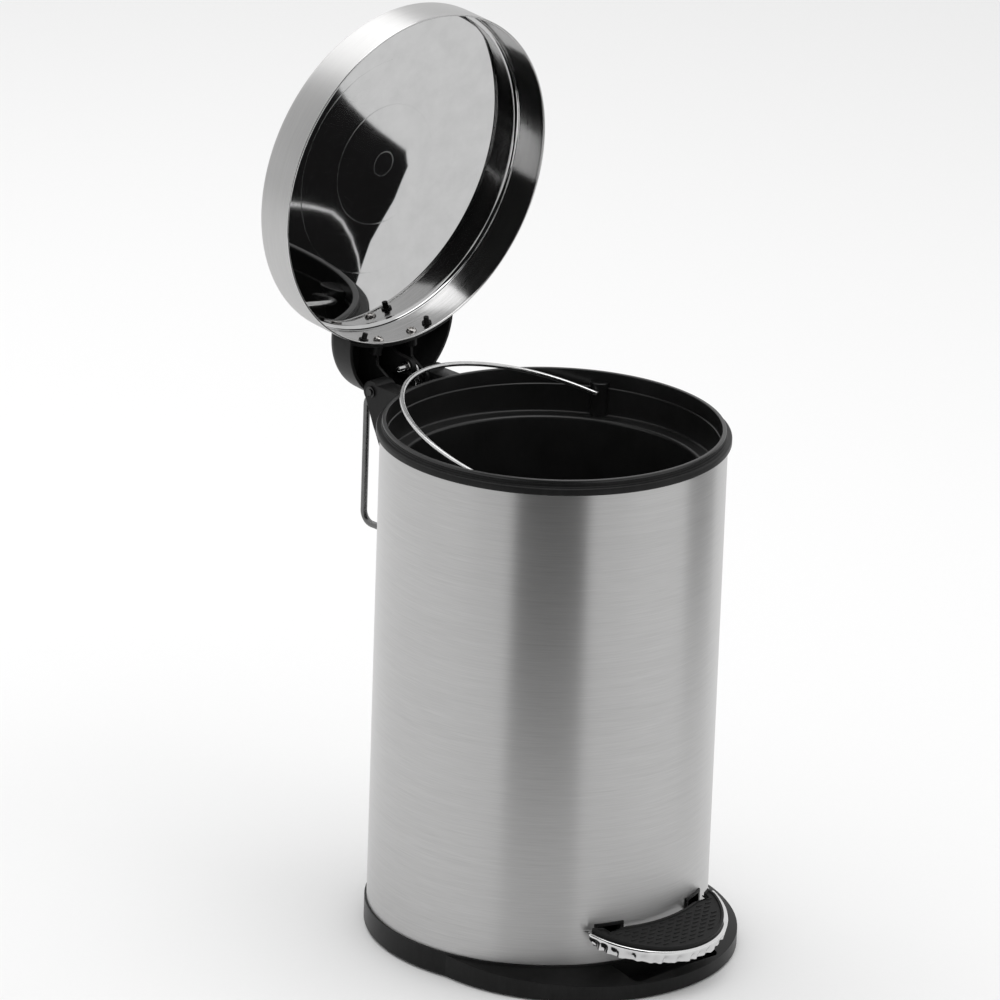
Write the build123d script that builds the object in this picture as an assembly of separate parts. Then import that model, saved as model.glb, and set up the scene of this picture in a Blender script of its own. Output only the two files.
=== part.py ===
from build123d import *
import os
from math import atan2, cos, degrees, hypot, radians, sin, sqrt, tan

# Pedal trash can, millimetres. The origin is on the barrel's axis at the floor, +Z is up,
# -Y is the front (pedal) and +Y is the back (hinge and carrying handle).
# It is drawn with the lid open, the pedal pressed and the bail leaning back.

# Fits
RUN = 0.05                 # radial running clearance
SLIP = 0.1                 # assembly clearance of still parts
FREE = 0.3                 # between neighbours that move past each other

FAR = 400.0                # larger than the object, for cutting

# Barrel
SHELL_R = 125.0            # outside radius of the steel barrel
SHELL_T = 0.8              # its sheet
SHELL_VISIBLE = 360.5      # height of barrel seen between base and rim ring
SEAM_Z = 18.0              # top of the base where the barrel leaves it
SHELL_LOW = SEAM_Z - 6.0   # lower edge, seated in the base
SHELL_IN_R = SHELL_R - SHELL_T
FLANGE_W = 8.2             # inward flange at the barrel's lower edge

# Base
BASE_WALL = 2.5
BASE_FOOT_GAP = 0.8        # the base's own edge stands this far off the floor
BASE_EDGE_R = 1.8          # its rounded lower edge
BASE_LIP_R = SHELL_R + 1.6 # outside radius round the back and the sides
APRON_R = SHELL_R - 2.7    # rounded apron that carries the pedal's foot space
APRON_Y = -35.2
APRON_DROP = 6.0           # how far the apron's top falls from barrel to front edge
LIP_H = 1.4                # thin collar that hides the barrel's edge
WELL_W = 84.0              # recess in the apron under the pedal
WELL_DEPTH = 7.0
WELL_RIM = 9.0             # apron left in front of the recess
FOOT_RING_W = 7.0          # non-slip ring under the base
FOOT_RING_H = 4.0
FOOT_RING_WALL = 1.8       # wall of its groove
FOOT_RING_R = SHELL_R - 9.0
WEB_Z = SHELL_LOW - BASE_WALL
BASE_SCREW_R = SHELL_R - 5.2
BASE_SCREW_TURNS = (45, 135, 225, 315)
SCREW_R = 2.0
SCREW_HEAD_R = 3.9
SCREW_HEAD_H = 2.0
BASE_SCREW_SEAT = 6.6      # height of the seat under the base's web

# Rim ring and bucket
RING_Z = SEAM_Z + SHELL_VISIBLE
RING_R = SHELL_R + 2.8
LEDGE_H = 5.2              # outer ledge that the lid closes on
RING_EDGE_R = 1.4
STEP_H = 2.6               # raised inner step that the bucket hangs on
STEP_R = SHELL_R - 1.1
RING_BORE_R = SHELL_R - 2.6
RING_SKIRT = 6.5           # inner skirt that locates the ring in the barrel
SHELL_TOP = RING_Z + LEDGE_H - 2.0
BUCKET_T = 1.4
BUCKET_MOUTH_R = RING_BORE_R - BUCKET_T - 0.4   # inside radius of the wide mouth
BUCKET_RIM_T = 2.2
BUCKET_RIM_EDGE = 0.9
BUCKET_TOP = RING_Z + LEDGE_H + STEP_H + BUCKET_RIM_T + SLIP
BUCKET_MOUTH_H = 33.0      # from the rim down to the ledge
BUCKET_BEAD_H = 11.6       # from the rim down to the small step in the mouth
BUCKET_BEAD = 0.7          # how far that step comes in
LEDGE_W = 12.1             # ledge between mouth and body
BUCKET_TAPER = 8.5         # the body narrows by this to its floor
BUCKET_FLOOR_Z = 60.0
LEDGE_Z = BUCKET_TOP - BUCKET_MOUTH_H
BUCKET_BODY_R = BUCKET_MOUTH_R - LEDGE_W
BUCKET_FLOOR_R = BUCKET_BODY_R - BUCKET_TAPER

# Bail
BAIL_D = 3.5
BAIL_R = BUCKET_MOUTH_R - 9.1
BAIL_RISE = BAIL_R + 2.7
BAIL_BEND = 2.6
BAIL_TILT = 16.5           # it leans back this far above level
BAIL_EAR_ANGLE = 29.9      # direction of its pivot line, from +X towards +Y
BAIL_EAR_Z = BUCKET_TOP - 14.2
EAR_R = 7.0                # moulded ear on the bucket's wall
EAR_PROUD = 6.3
EAR_OVER = 6.5             # ear above the bail's pivot

# Lid
LID_OPEN = 84.5            # lid angle, closed to open
LID_R = RING_R - 1.2
LID_T = 0.8
LID_SKIRT = 31.0
LID_CORNER = 5.0
LID_RISE = 7.0
LID_HEM_T = 1.6
LID_HEM_H = 2.2
LID_HEM_EDGE = 0.7
LID_GAP = 0.5              # lid rim above the ring's ledge when closed
LID_Z = RING_Z + LEDGE_H + LID_GAP
LID_SEAT_R = LID_R - LID_T - SLIP
HINGE_Y = LID_R + 29.9
HINGE_Z = RING_Z - 2.3
PIN_D = 5.0
PIN_END = 2.4              # pin beyond the mount's cheeks
PIN_HEAD_T = 1.4

# Lid bracket, given where it stands with the lid closed
BOWL_HALF_W = 51.0
BOWL_BACK = 14.0           # behind the hinge axis
BOWL_INTO = 8.6            # its widest line inside the lid's skirt
BOWL_EDGE_R = 9.0
BOWL_WALL = 2.5
BOWL_LOW = 1.0             # its open edge above the lid's rim
BOWL_H = 27.0
RIB_X = 17.0
RIB_T = 2.6
EYE_R = 7.5
CRANK_R = 12.2             # push rod pin from the hinge axis
CRANK_ANGLE = 91.0         # its direction with the lid open, from +Y towards +Z
ARM_X = 1.0
ARM_T = 4.0
ARM_END_R = 6.0
FIX_Z = 7.8                # lid screws and pegs above the rim
SCREW_ANGLE = 7.5
PEG_ANGLE = 14.5
PEG_D = 4.0
PEG_PROUD = 6.4            # peg inside the lid's skirt
BOSS_R = 4.2
LID_SCREW_R = 1.9
LID_SCREW_L = 8.0

# Hinge mount; heights are taken down from the hinge axis
MOUNT_HALF_W = 34.0
MOUNT_LOW_HALF_W = 24.0
MOUNT_LOW_Z = HINGE_Z - 106.2
MOUNT_TAPER_Z = HINGE_Z - 26.2
MOUNT_TOP = 6.0            # its top face above the hinge axis
MOUNT_BACK = ((2.5, 106.2), (15.0, 64.2), (27.0, 29.2), (36.5, 8.2))      # out from the barrel, down
POCKET_BACK = ((-1.0, 98.2), (12.0, 64.2), (23.8, 29.2), (27.5, 20.2), (28.0, 14.2))
POCKET_HALF_W = 18.6
KNUCKLE_R = 8.5
RECESS_R = 3.2             # round recess on the front of each knuckle
RECESS_END = 12.0          # its end, out from the barrel
WINDOW_HALF_W = 9.0
WINDOW_LOW = HINGE_Z - 102.2
WINDOW_HIGH = HINGE_Z - 49.2
PLATE_T = 1.1              # backing plate inside the barrel
PLATE_HALF_W = 33.0
PLATE_LOW = HINGE_Z - 112.2
PLATE_HIGH = HINGE_Z - 10.2
MOUNT_SCREW_X = 26.0
MOUNT_SCREW_Z = (HINGE_Z - 86.2, HINGE_Z - 35.2)
MOUNT_SCREW_HOLE_R = 2.2

# Push rod and pedal lever
ROD_D = 4.5
ROD_X = 9.0
ROD_BEND = 4.0
ROD_FOOT_Y = SHELL_R - 12.0
ROD_FOOT_Z = 31.7
PIVOT_Y = -45.0
PIVOT_Z = 32.0
AXLE_D = 6.0
ARM_CENTRE = 42.5
ARM_W = 14.0
STRAP_T = 3.0
EAR_T = 3.0
LEVER_RISE = 7.5           # lever's top above its axle
BRIDGE_START = 12.0        # cross bridge between the arms, behind the axle
BRIDGE_END = 26.0
POST_T = 5.0
POST_GAP = 2.0             # from arm to bearing post
POST_HEAD_R = 6.5
POST_FOOT = 11.0
ROD_SLACK_R = 4.5          # hole in the lever, wide enough for the rod's wandering foot
ROD_SLACK_SHIFT = 1.1      # the hole's centre from the foot's place with the lid open
ROD_EYE_WALL = 2.0         # metal round that hole
CLIP_T = 0.8
GROOVE_W = 0.9
GROOVE_DEPTH = 0.5

# Pedal
PEDAL_HALF_W = ARM_CENTRE + 21.0
PEDAL_R = PEDAL_HALF_W + 1.3
PEDAL_REAR_R = SHELL_R + 4.5
PEDAL_TIP_LAND = 3.14      # plate left at each tip
PEDAL_TIP_Y = -(sqrt(PEDAL_REAR_R**2 - PEDAL_HALF_W**2) + PEDAL_TIP_LAND)
PEDAL_TIP_Z = 47.5
PEDAL_TILT = 12.0
PEDAL_REACH = PEDAL_R - 9.8 # tips to front edge, along the plate
LEVER_REACH = 24.55        # arms' front ends and the start of their seat under the
LEVER_SEAT = 10.25         # plate, both in front of the pedal's tips
PEDAL_T = 1.2
PEDAL_SKIRT = 9.5
PAD_T = 2.6
PAD_BORDER = 1.0
PAD_BORDER_W = 2.4
PAD_INSET = 3.6
PAD_END_INSET = 5.0
PAD_REAR_GAP = 0.5
NOTCH_W = 17.0
NOTCH_DEPTH = 4.0
RIVET_R = 2.0
RIVET_HEAD_R = 2.9
RIVET_FRONT = (14.9, 21.3)  # rivets in front of the tips
BEZEL_GAP = 1.0            # slot round each arm
BEZEL_WALL = 1.4
BEZEL_FACE = 1.2

# Rear handle
HANDLE_D = 5.0
HANDLE_Y = SHELL_R + 72.0
HANDLE_HIGH = HINGE_Z - 19.2
HANDLE_LOW = HANDLE_HIGH - 100.0
HANDLE_BEND = 9.0
HANDLE_TOP_END = 22.5      # its upper end, out from the barrel
PUSH_NUT_R = 5.0

ROD_HEAD_Y = HINGE_Y + CRANK_R * cos(radians(CRANK_ANGLE))
ROD_HEAD_Z = HINGE_Z + CRANK_R * sin(radians(CRANK_ANGLE))


def tube(r_in, r_out, z_low, z_high):
    """A round wall about the barrel's axis."""
    wall = Circle(r_out) - Circle(r_in)
    return Pos(0, 0, z_low) * extrude(wall, amount=z_high - z_low)


def disc(radius, z_low, z_high):
    """A solid cylinder about the barrel's axis."""
    return Pos(0, 0, z_low) * extrude(Circle(radius), amount=z_high - z_low)


def block(x, y, z):
    """A box from its three low and high pairs."""
    size = (x[1] - x[0], y[1] - y[0], z[1] - z[0])
    return Pos(x[0], y[0], z[0]) * Box(*size, align=(Align.MIN, Align.MIN, Align.MIN))


def rod_between(start, end, radius):
    """A straight round bar between two points."""
    run = Vector(*end) - Vector(*start)
    return Plane(origin=start, z_dir=run) * extrude(Circle(radius), amount=run.length)


def across(x_low, x_high, y, z, radius):
    """A round bar along X."""
    return rod_between((x_low, y, z), (x_high, y, z), radius)


def radial(angle, z, r_low, r_high, radius):
    """A round bar that points away from the barrel's axis. The angle starts at +X."""
    way = (cos(radians(angle)), sin(radians(angle)))
    start = (r_low * way[0], r_low * way[1], z)
    end = (r_high * way[0], r_high * way[1], z)
    return rod_between(start, end, radius)


def slab(points, x_low, x_high):
    """A side outline of (y, z) points, given a thickness along X."""
    face = make_face(Polyline(*points, close=True))
    return Plane.YZ.offset(x_low) * extrude(face, amount=x_high - x_low)


def strap(top_line, thickness, x_low, x_high):
    """A bent flat bar whose top follows the (y, z) line."""
    under = [(y, z - thickness) for y, z in reversed(top_line)]
    return slab(top_line + under, x_low, x_high)


def bent_wire(points, bend, diameter):
    """A round wire along straight runs with rounded corners."""
    path = FilletPolyline(*points, radius=bend)
    start = Plane(origin=path @ 0, z_dir=path % 0)
    return sweep(start * Circle(diameter / 2), path=path)


def opened(piece):
    """Swing a piece that was drawn with the lid closed to the open lid's place."""
    hinge = Axis((0, HINGE_Y, HINGE_Z), (1, 0, 0))
    return piece.rotate(hinge, -LID_OPEN)


def both_sides(piece):
    """A piece and its mirror image across the middle plane."""
    return [piece, piece.mirror(Plane.YZ)]


def on_pedal(piece):
    """Tilt a piece drawn level at the pedal's tips to the pedal's slope."""
    placed = Pos(0, PEDAL_TIP_Y, PEDAL_TIP_Z) * Rot(PEDAL_TILT, 0, 0)
    return placed * piece


def save(name, pieces):
    """Write one node; a list becomes a group of separate solids."""
    group = pieces if isinstance(pieces, list) else [pieces]
    solids = [solid for piece in group for solid in piece.solids()]
    shape = solids[0] if len(solids) == 1 else Compound(children=solids)
    shape.label = name
    export_step(shape, f"parts/{name}.step")


# Housing ------------------------------------------------------------------------------

def front_slots(extra):
    """The two openings that the pedal's arms pass through."""
    return both_sides(around_arm(extra, extra))


def arm_travel():
    """Lowest and highest point that an arm needs where it crosses the barrel."""
    raised = tan(radians(pedal_swing())) * (SHELL_R + PIVOT_Y)
    return arm_top_at_shell() - STRAP_T - 2.0, arm_top_at_shell() + raised + 1.0


def arm_top_at_shell():
    """Top of the pedal's arm in the barrel's wall with the pedal pressed."""
    return PEDAL_TIP_Z - 7.0


def pedal_swing():
    """How far the lever turns while the lid swings shut, in degrees."""
    return degrees(atan2(ROD_FOOT_Z - rod_foot_shut(), ROD_FOOT_Y - PIVOT_Y))


def rod_foot_shut():
    """Height of the push rod's foot with the lid closed."""
    length = hypot(ROD_FOOT_Y - ROD_HEAD_Y, ROD_FOOT_Z - ROD_HEAD_Z)
    head_y, head_z = crank_shut()
    return head_z - sqrt(length**2 - (head_y - ROD_FOOT_Y)**2)


def rod_window():
    """Opening in the barrel's back for the push rod."""
    return block((ROD_X - WINDOW_HALF_W, ROD_X + WINDOW_HALF_W), (0, FAR), (WINDOW_LOW, WINDOW_HIGH))


def mount_screw_places():
    """Centres of the four hinge mount screws as (x, z)."""
    return [(side * MOUNT_SCREW_X, z) for side in (-1, 1) for z in MOUNT_SCREW_Z]


def make_shell():
    barrel = tube(SHELL_IN_R, SHELL_R, SHELL_LOW, SHELL_TOP)
    flange = tube(SHELL_IN_R - FLANGE_W, SHELL_R, SHELL_LOW, SHELL_LOW + SHELL_T)
    barrel = barrel + flange - rod_window()
    for cut in front_slots(SLIP + BEZEL_WALL):
        barrel -= cut
    for x, z in mount_screw_places():
        barrel -= through_back(x, z, MOUNT_SCREW_HOLE_R)
    barrel -= through_back(0, HANDLE_LOW, HANDLE_D / 2 + SLIP)
    for x, y in base_screw_places():
        barrel -= rod_between((x, y, 0), (x, y, SHELL_LOW + 5), SCREW_R + 2 * SLIP)
    return barrel


def through_back(x, z, radius):
    """A round bar through the barrel's back, to cut with."""
    return rod_between((x, SHELL_R / 2, z), (x, SHELL_R + 35, z), radius)


def base_outline(inset):
    """Round base with its fuller apron at the front, moved inwards by an inset."""
    back = Circle(BASE_LIP_R - inset)
    front = Pos(0, APRON_Y) * Circle(APRON_R - inset)
    reach = min(BASE_LIP_R, APRON_R) - inset
    sides = Pos(0, APRON_Y / 2) * Rectangle(2 * reach, -APRON_Y)
    return back + front + sides


def apron_slope():
    """Everything under the base's sloping top."""
    run = APRON_R - APRON_Y - BASE_LIP_R
    edge = SEAM_Z - APRON_DROP
    slope = [(FAR, edge - 3), (BASE_LIP_R + run, edge), (BASE_LIP_R, SEAM_Z)]
    outline = [(0, 0), (FAR, 0)] + slope + [(0, SEAM_Z)]
    face = Plane.XZ * make_face(Polyline(*outline, close=True))
    return revolve(face, axis=Axis.Z)


def make_base():
    height = SEAM_Z - BASE_FOOT_GAP
    body = Pos(0, 0, BASE_FOOT_GAP) * extrude(base_outline(0), amount=height)
    body = body & apron_slope()
    low_edges = body.edges().group_by(Axis.Z)[0]
    body = fillet(low_edges, BASE_EDGE_R)
    body += tube(SHELL_R + SLIP, BASE_LIP_R, SHELL_LOW, SEAM_Z + LIP_H)
    body -= disc(SHELL_R + SLIP, SHELL_LOW, FAR)
    body -= base_hollow()
    ring_out = FOOT_RING_R + FOOT_RING_W
    body += tube(FOOT_RING_R - FOOT_RING_WALL, ring_out + FOOT_RING_WALL, BASE_FOOT_GAP, WEB_Z + 1)
    body -= tube(FOOT_RING_R - SLIP, ring_out + SLIP, 0, FOOT_RING_H)
    body -= pedal_well()
    for post in lever_posts():
        body += post
    for place in base_screw_places():
        body -= rod_between((*place, 0), (*place, SHELL_LOW + 1), SCREW_R + SLIP)
        body -= rod_between((*place, 0), (*place, BASE_SCREW_SEAT), SCREW_HEAD_R + FREE)
    return body


def base_hollow():
    """Space under the base's web, shallower below the pedal's recess."""
    hollow = extrude(base_outline(BASE_WALL), amount=WEB_Z)
    half = WELL_W / 2 + BASE_WALL
    roof = well_floor() - BASE_WALL
    return hollow - block((-half, half), (-FAR, -SHELL_R + 12), (roof, FAR))


def well_floor():
    """Height of the floor of the recess under the pedal."""
    return SEAM_Z - APRON_DROP - WELL_DEPTH


def pedal_well():
    """Recess in the apron's top, under the pedal."""
    front = APRON_Y - APRON_R + WELL_RIM
    hole = block((-WELL_W / 2, WELL_W / 2), (front, 25 - SHELL_R), (well_floor(), FAR))
    hole = fillet(hole.edges().filter_by(Axis.Z), 6)
    return hole - disc(SHELL_R + 3.0, 0, FAR + 100)


def lever_posts():
    """Two bearing posts that hold the lever's axle."""
    inner = ARM_CENTRE + ARM_W / 2 + POST_GAP
    foot = [(PIVOT_Y - POST_FOOT, WEB_Z + 1), (PIVOT_Y + POST_FOOT, WEB_Z + 1)]
    head = [(PIVOT_Y + POST_HEAD_R, PIVOT_Z), (PIVOT_Y - POST_HEAD_R, PIVOT_Z)]
    post = slab(foot + head, inner, inner + POST_T)
    post += across(inner, inner + POST_T, PIVOT_Y, PIVOT_Z, POST_HEAD_R)
    post -= across(inner - 1, inner + POST_T + 1, PIVOT_Y, PIVOT_Z, AXLE_D / 2 + RUN)
    return both_sides(post)


def base_screw_places():
    """Four screws up through the base into the barrel's flange."""
    turns = [radians(angle) for angle in BASE_SCREW_TURNS]
    return [(BASE_SCREW_R * cos(a), BASE_SCREW_R * sin(a)) for a in turns]


def make_base_screws():
    screws = []
    for x, y in base_screw_places():
        shank = rod_between((x, y, BASE_SCREW_SEAT), (x, y, SHELL_LOW + 4), SCREW_R)
        head = rod_between((x, y, BASE_SCREW_SEAT - SCREW_HEAD_H), (x, y, BASE_SCREW_SEAT), SCREW_HEAD_R)
        screws.append(shank + head)
    return screws


def make_foot_ring():
    return tube(FOOT_RING_R, FOOT_RING_R + FOOT_RING_W, 0, FOOT_RING_H)


def make_rim_ring():
    ledge_z = RING_Z + LEDGE_H
    body = tube(RING_BORE_R, RING_R, RING_Z, ledge_z)
    body = fillet(body.edges().group_by(Axis.Z)[-1].sort_by(SortBy.RADIUS)[-1], RING_EDGE_R)
    body += tube(RING_BORE_R, STEP_R, ledge_z - 1, ledge_z + STEP_H)
    body += tube(RING_BORE_R, SHELL_IN_R - SLIP, RING_Z - RING_SKIRT, RING_Z + 1)
    body -= tube(SHELL_IN_R - SLIP, SHELL_R + SLIP, RING_Z - 1, SHELL_TOP + SLIP)
    return body


def mount_side():
    """The mount seen from the side, as (y, z) points from bottom to top."""
    high = HINGE_Z + MOUNT_TOP
    top = [(HINGE_Y + KNUCKLE_R, HINGE_Z), (HINGE_Y, high), (SHELL_R + RECESS_END - 3, high)]
    inside = SHELL_R - 15
    return [(inside, MOUNT_LOW_Z)] + from_barrel(MOUNT_BACK) + top + [(inside, high)]


def from_barrel(places):
    """Points given out from the barrel and down from the hinge axis, as (y, z)."""
    return [(SHELL_R + out, HINGE_Z - down) for out, down in places]


def make_hinge_mount():
    body = slab(mount_side(), -MOUNT_HALF_W, MOUNT_HALF_W)
    body += across(-MOUNT_HALF_W, MOUNT_HALF_W, HINGE_Y, HINGE_Z, KNUCKLE_R)
    body -= disc(SHELL_R + SLIP, 0, FAR)
    body -= disc(RING_R + FREE + 2.4, RING_Z - 2.0, FAR + 100)
    body -= disc(RING_R + FREE, RING_Z - 6.0, FAR + 100)
    low = MOUNT_LOW_Z - 1
    taper = [(MOUNT_HALF_W, MOUNT_TAPER_Z), (MOUNT_LOW_HALF_W, low), (FAR, low), (FAR, MOUNT_TAPER_Z)]
    wedge = Plane.XZ * make_face(Polyline(*taper, close=True))
    for cut in both_sides(extrude(wedge, amount=-FAR)):
        body -= cut
    body -= mount_pocket()
    body -= across(-FAR, FAR, HINGE_Y, HINGE_Z, PIN_D / 2 + RUN)
    body -= rod_between((0, SHELL_R, HANDLE_HIGH), (0, SHELL_R + 55, HANDLE_HIGH), HANDLE_D / 2 + SLIP)
    for x, z in mount_screw_places():
        body -= rod_between((x, SHELL_R / 2, z), (x, SHELL_R + 11, z), LID_SCREW_R + RUN)
    for side in (-1, 1):
        x = side * (MOUNT_HALF_W + POCKET_HALF_W) / 2
        z = HINGE_Z + 0.5
        body -= rod_between((x, SHELL_R, z), (x, SHELL_R + RECESS_END, z), RECESS_R)
    return body


def mount_pocket():
    """Channel between the mount's cheeks, for the lid's arms and the push rod."""
    back = from_barrel(POCKET_BACK)
    inside = SHELL_R - 25
    top = [(FAR, back[-1][1]), (FAR, FAR + 200), (inside, FAR + 200)]
    return slab([(inside, back[0][1])] + back + top, -POCKET_HALF_W, POCKET_HALF_W)


def make_backing_plate():
    outer = SHELL_IN_R - SLIP
    width = (-PLATE_HALF_W, PLATE_HALF_W)
    plate = tube(outer - PLATE_T, outer, PLATE_LOW, PLATE_HIGH) & block(width, (0, FAR), (0, 2 * FAR))
    plate -= rod_window()
    for x, z in mount_screw_places():
        plate -= through_back(x, z, MOUNT_SCREW_HOLE_R)
    return plate


def make_mount_screws():
    seat_r = SHELL_IN_R - SLIP - PLATE_T
    seat = sqrt(seat_r**2 - (MOUNT_SCREW_X + 4)**2) - SLIP
    screws = []
    for x, z in mount_screw_places():
        shank = rod_between((x, seat - 0.5, z), (x, SHELL_R + 10, z), LID_SCREW_R)
        head = rod_between((x, seat - 2.6, z), (x, seat, z), 4.0)
        screws.append(shank + head)
    return screws


def make_hinge_pins():
    end = MOUNT_HALF_W + PIN_END
    head = RIB_X - RIB_T / 2 - FREE
    pin = across(head - 0.5, end, HINGE_Y, HINGE_Z, PIN_D / 2)
    pin += across(head - PIN_HEAD_T, head, HINGE_Y, HINGE_Z, PIN_D / 2 + 1.5)
    pin -= clip_groove(end, HINGE_Y, HINGE_Z, PIN_D / 2)
    return both_sides(pin)


def clip_groove(end, y, z, radius):
    """Ring-shaped groove for a spring clip, near the end of a cross pin."""
    start = end - 1.0 - GROOVE_W
    groove = across(start, start + GROOVE_W, y, z, radius * 2)
    return groove - across(start, start + GROOVE_W, y, z, radius - GROOVE_DEPTH)


def spring_clip(x, y, z, inner, thickness):
    """An open spring washer on a cross pin, starting at x."""
    washer = across(x, x + thickness, y, z, inner + 2.2)
    washer -= across(x - 1, x + thickness + 1, y, z, inner)
    mouth = block((x - 1, x + thickness + 1), (y - inner * 0.8, y + inner * 0.8), (z - inner - 4, z))
    return washer - mouth


def make_pin_clips():
    start = MOUNT_HALF_W + PIN_END - 1.0 - GROOVE_W + RUN
    return both_sides(spring_clip(start, HINGE_Y, HINGE_Z, PIN_D / 2 - GROOVE_DEPTH + 0.02, CLIP_T))


def make_lever_axle():
    half = axle_half()
    axle = across(-half, half, PIVOT_Y, PIVOT_Z, AXLE_D / 2)
    for groove in both_sides(clip_groove(half, PIVOT_Y, PIVOT_Z, AXLE_D / 2)):
        axle -= groove
    return axle


def axle_half():
    """Half of the lever axle's length."""
    return ARM_CENTRE + ARM_W / 2 + POST_GAP + POST_T + 2.2


def make_axle_clips():
    start = axle_half() - 1.0 - GROOVE_W + RUN
    return both_sides(spring_clip(start, PIVOT_Y, PIVOT_Z, AXLE_D / 2 - GROOVE_DEPTH + 0.02, CLIP_T))


def around_arm(grow_x, grow_z):
    """A block round the space that an arm sweeps in the barrel's wall."""
    low, high = arm_travel()
    half = ARM_W / 2 + BEZEL_GAP + grow_x
    return block((ARM_CENTRE - half, ARM_CENTRE + half), (-FAR, 0), (low - grow_z, high + grow_z))


def make_slot_bezels():
    neck = around_arm(BEZEL_WALL, BEZEL_WALL) & tube(SHELL_IN_R - BEZEL_WALL, SHELL_R + 0.6, 0, FAR)
    face = around_arm(BEZEL_WALL + BEZEL_FACE, 2.2) & tube(SHELL_R + SLIP, SHELL_R + BEZEL_FACE, 0, FAR)
    return both_sides(neck + face - around_arm(0, 0))


def make_rear_handle():
    points = [(0, SHELL_R - 4.0, HANDLE_LOW), (0, HANDLE_Y, HANDLE_LOW),
              (0, HANDLE_Y, HANDLE_HIGH), (0, SHELL_R + HANDLE_TOP_END, HANDLE_HIGH)]
    return bent_wire(points, HANDLE_BEND, HANDLE_D)


def make_push_nuts():
    places = [(SHELL_IN_R - 1.3, HANDLE_LOW), (SHELL_R + HANDLE_TOP_END + 3.1, HANDLE_HIGH)]
    nuts = []
    for y, z in places:
        nut = rod_between((0, y - 0.8, z), (0, y, z), PUSH_NUT_R)
        nuts.append(nut - rod_between((0, y - 2, z), (0, y + 2, z), HANDLE_D / 2))
    return nuts


# Bucket and bail ----------------------------------------------------------------------

def bucket_profile(wall):
    """Bucket's surface as (r, z) points; a wall of 0 gives the inside."""
    bead = BUCKET_TOP - BUCKET_BEAD_H
    floor = BUCKET_FLOOR_Z - wall
    shoulder = LEDGE_Z - wall
    points = [(BUCKET_MOUTH_R + wall, BUCKET_TOP), (BUCKET_MOUTH_R + wall, bead)]
    if wall == 0:
        neck = BUCKET_MOUTH_R - BUCKET_BEAD
        points += [(neck, bead - BUCKET_BEAD), (neck, shoulder)]
    else:
        points += [(BUCKET_MOUTH_R + wall, shoulder)]
    points += [(BUCKET_BODY_R + wall, shoulder), (BUCKET_FLOOR_R + wall, floor)]
    return points


def turned(points):
    """Turn a list of (r, z) points about the barrel's axis into a solid."""
    outline = points + [(0, points[-1][1]), (0, points[0][1])]
    face = Plane.XZ * make_face(Polyline(*outline, close=True))
    return revolve(face, axis=Axis.Z)


def make_bucket():
    outside = turned(bucket_profile(BUCKET_T))
    inside = turned(bucket_profile(0))
    body = outside - inside
    body += tube(BUCKET_MOUTH_R, STEP_R - 0.3, BUCKET_TOP - BUCKET_RIM_T, BUCKET_TOP)
    rim = body.edges().group_by(Axis.Z)[-1]
    body = fillet(rim, BUCKET_RIM_EDGE)
    for ear in bucket_ears():
        body += ear
    for angle in (BAIL_EAR_ANGLE, BAIL_EAR_ANGLE + 180):
        body -= radial(angle, BAIL_EAR_Z, BAIL_R - 6.5, ear_hole_end(), BAIL_D / 2 + RUN)
    return body


def ear_hole_end():
    """How far out the bail's ear holes reach."""
    return BUCKET_MOUTH_R - 0.2


def bucket_ears():
    """Two upright half-round ears that carry the bail."""
    ears = []
    for angle in (BAIL_EAR_ANGLE, BAIL_EAR_ANGLE + 180):
        way = radians(angle)
        centre = BUCKET_MOUTH_R - EAR_PROUD + EAR_R
        foot = Pos(centre * cos(way), centre * sin(way), LEDGE_Z - 0.5)
        post = foot * extrude(Circle(EAR_R), amount=BAIL_EAR_Z + EAR_OVER - LEDGE_Z)
        ears.append(post & disc(BUCKET_MOUTH_R + 0.5, 0, FAR))
    return ears


def bail_line():
    """The bail's centre line, flat, with X along its pivots."""
    end = BUCKET_MOUTH_R - 0.6
    foot = BAIL_R + BAIL_BEND
    soft = BAIL_BEND * (1 - sqrt(0.5))
    return Wire([
        Line((end, 0), (foot, 0)),
        ThreePointArc((foot, 0), (BAIL_R + soft, soft), (BAIL_R, BAIL_BEND)),
        ThreePointArc((BAIL_R, BAIL_BEND), (0, BAIL_RISE), (-BAIL_R, BAIL_BEND)),
        ThreePointArc((-BAIL_R, BAIL_BEND), (-BAIL_R - soft, soft), (-foot, 0)),
        Line((-foot, 0), (-end, 0)),
    ])


def make_bail():
    line = bail_line()
    section = Plane(origin=line @ 0, z_dir=(-1, 0, 0)) * Circle(BAIL_D / 2)
    bail = sweep(section, path=line)
    leaned = Rot(0, 0, BAIL_EAR_ANGLE) * Rot(BAIL_TILT, 0, 0) * bail
    return Pos(0, 0, BAIL_EAR_Z) * leaned


# Lid ----------------------------------------------------------------------------------

def lid_form(inset):
    """The lid's outside, or its inside with an inset, as a closed solid from the rim up."""
    wall = LID_R - inset
    corner = LID_CORNER - inset
    shoulder = LID_Z + LID_SKIRT - LID_CORNER
    high = shoulder + corner
    middle = high + LID_RISE
    lean = corner * (1 - cos(radians(45)))
    flat = wall - corner
    crown_r = (flat**2 + LID_RISE**2) / (2 * LID_RISE)
    half_way = middle - (crown_r - sqrt(crown_r**2 - (flat / 2)**2))
    edge = [
        Line((0, LID_Z), (wall, LID_Z)),
        Line((wall, LID_Z), (wall, shoulder)),
        ThreePointArc((wall, shoulder), (wall - lean, high - lean), (flat, high)),
        ThreePointArc((flat, high), (flat / 2, half_way), (0, middle)),
        Line((0, middle), (0, LID_Z)),
    ]
    return revolve(Plane.XZ * make_face(edge), axis=Axis.Z)


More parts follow.
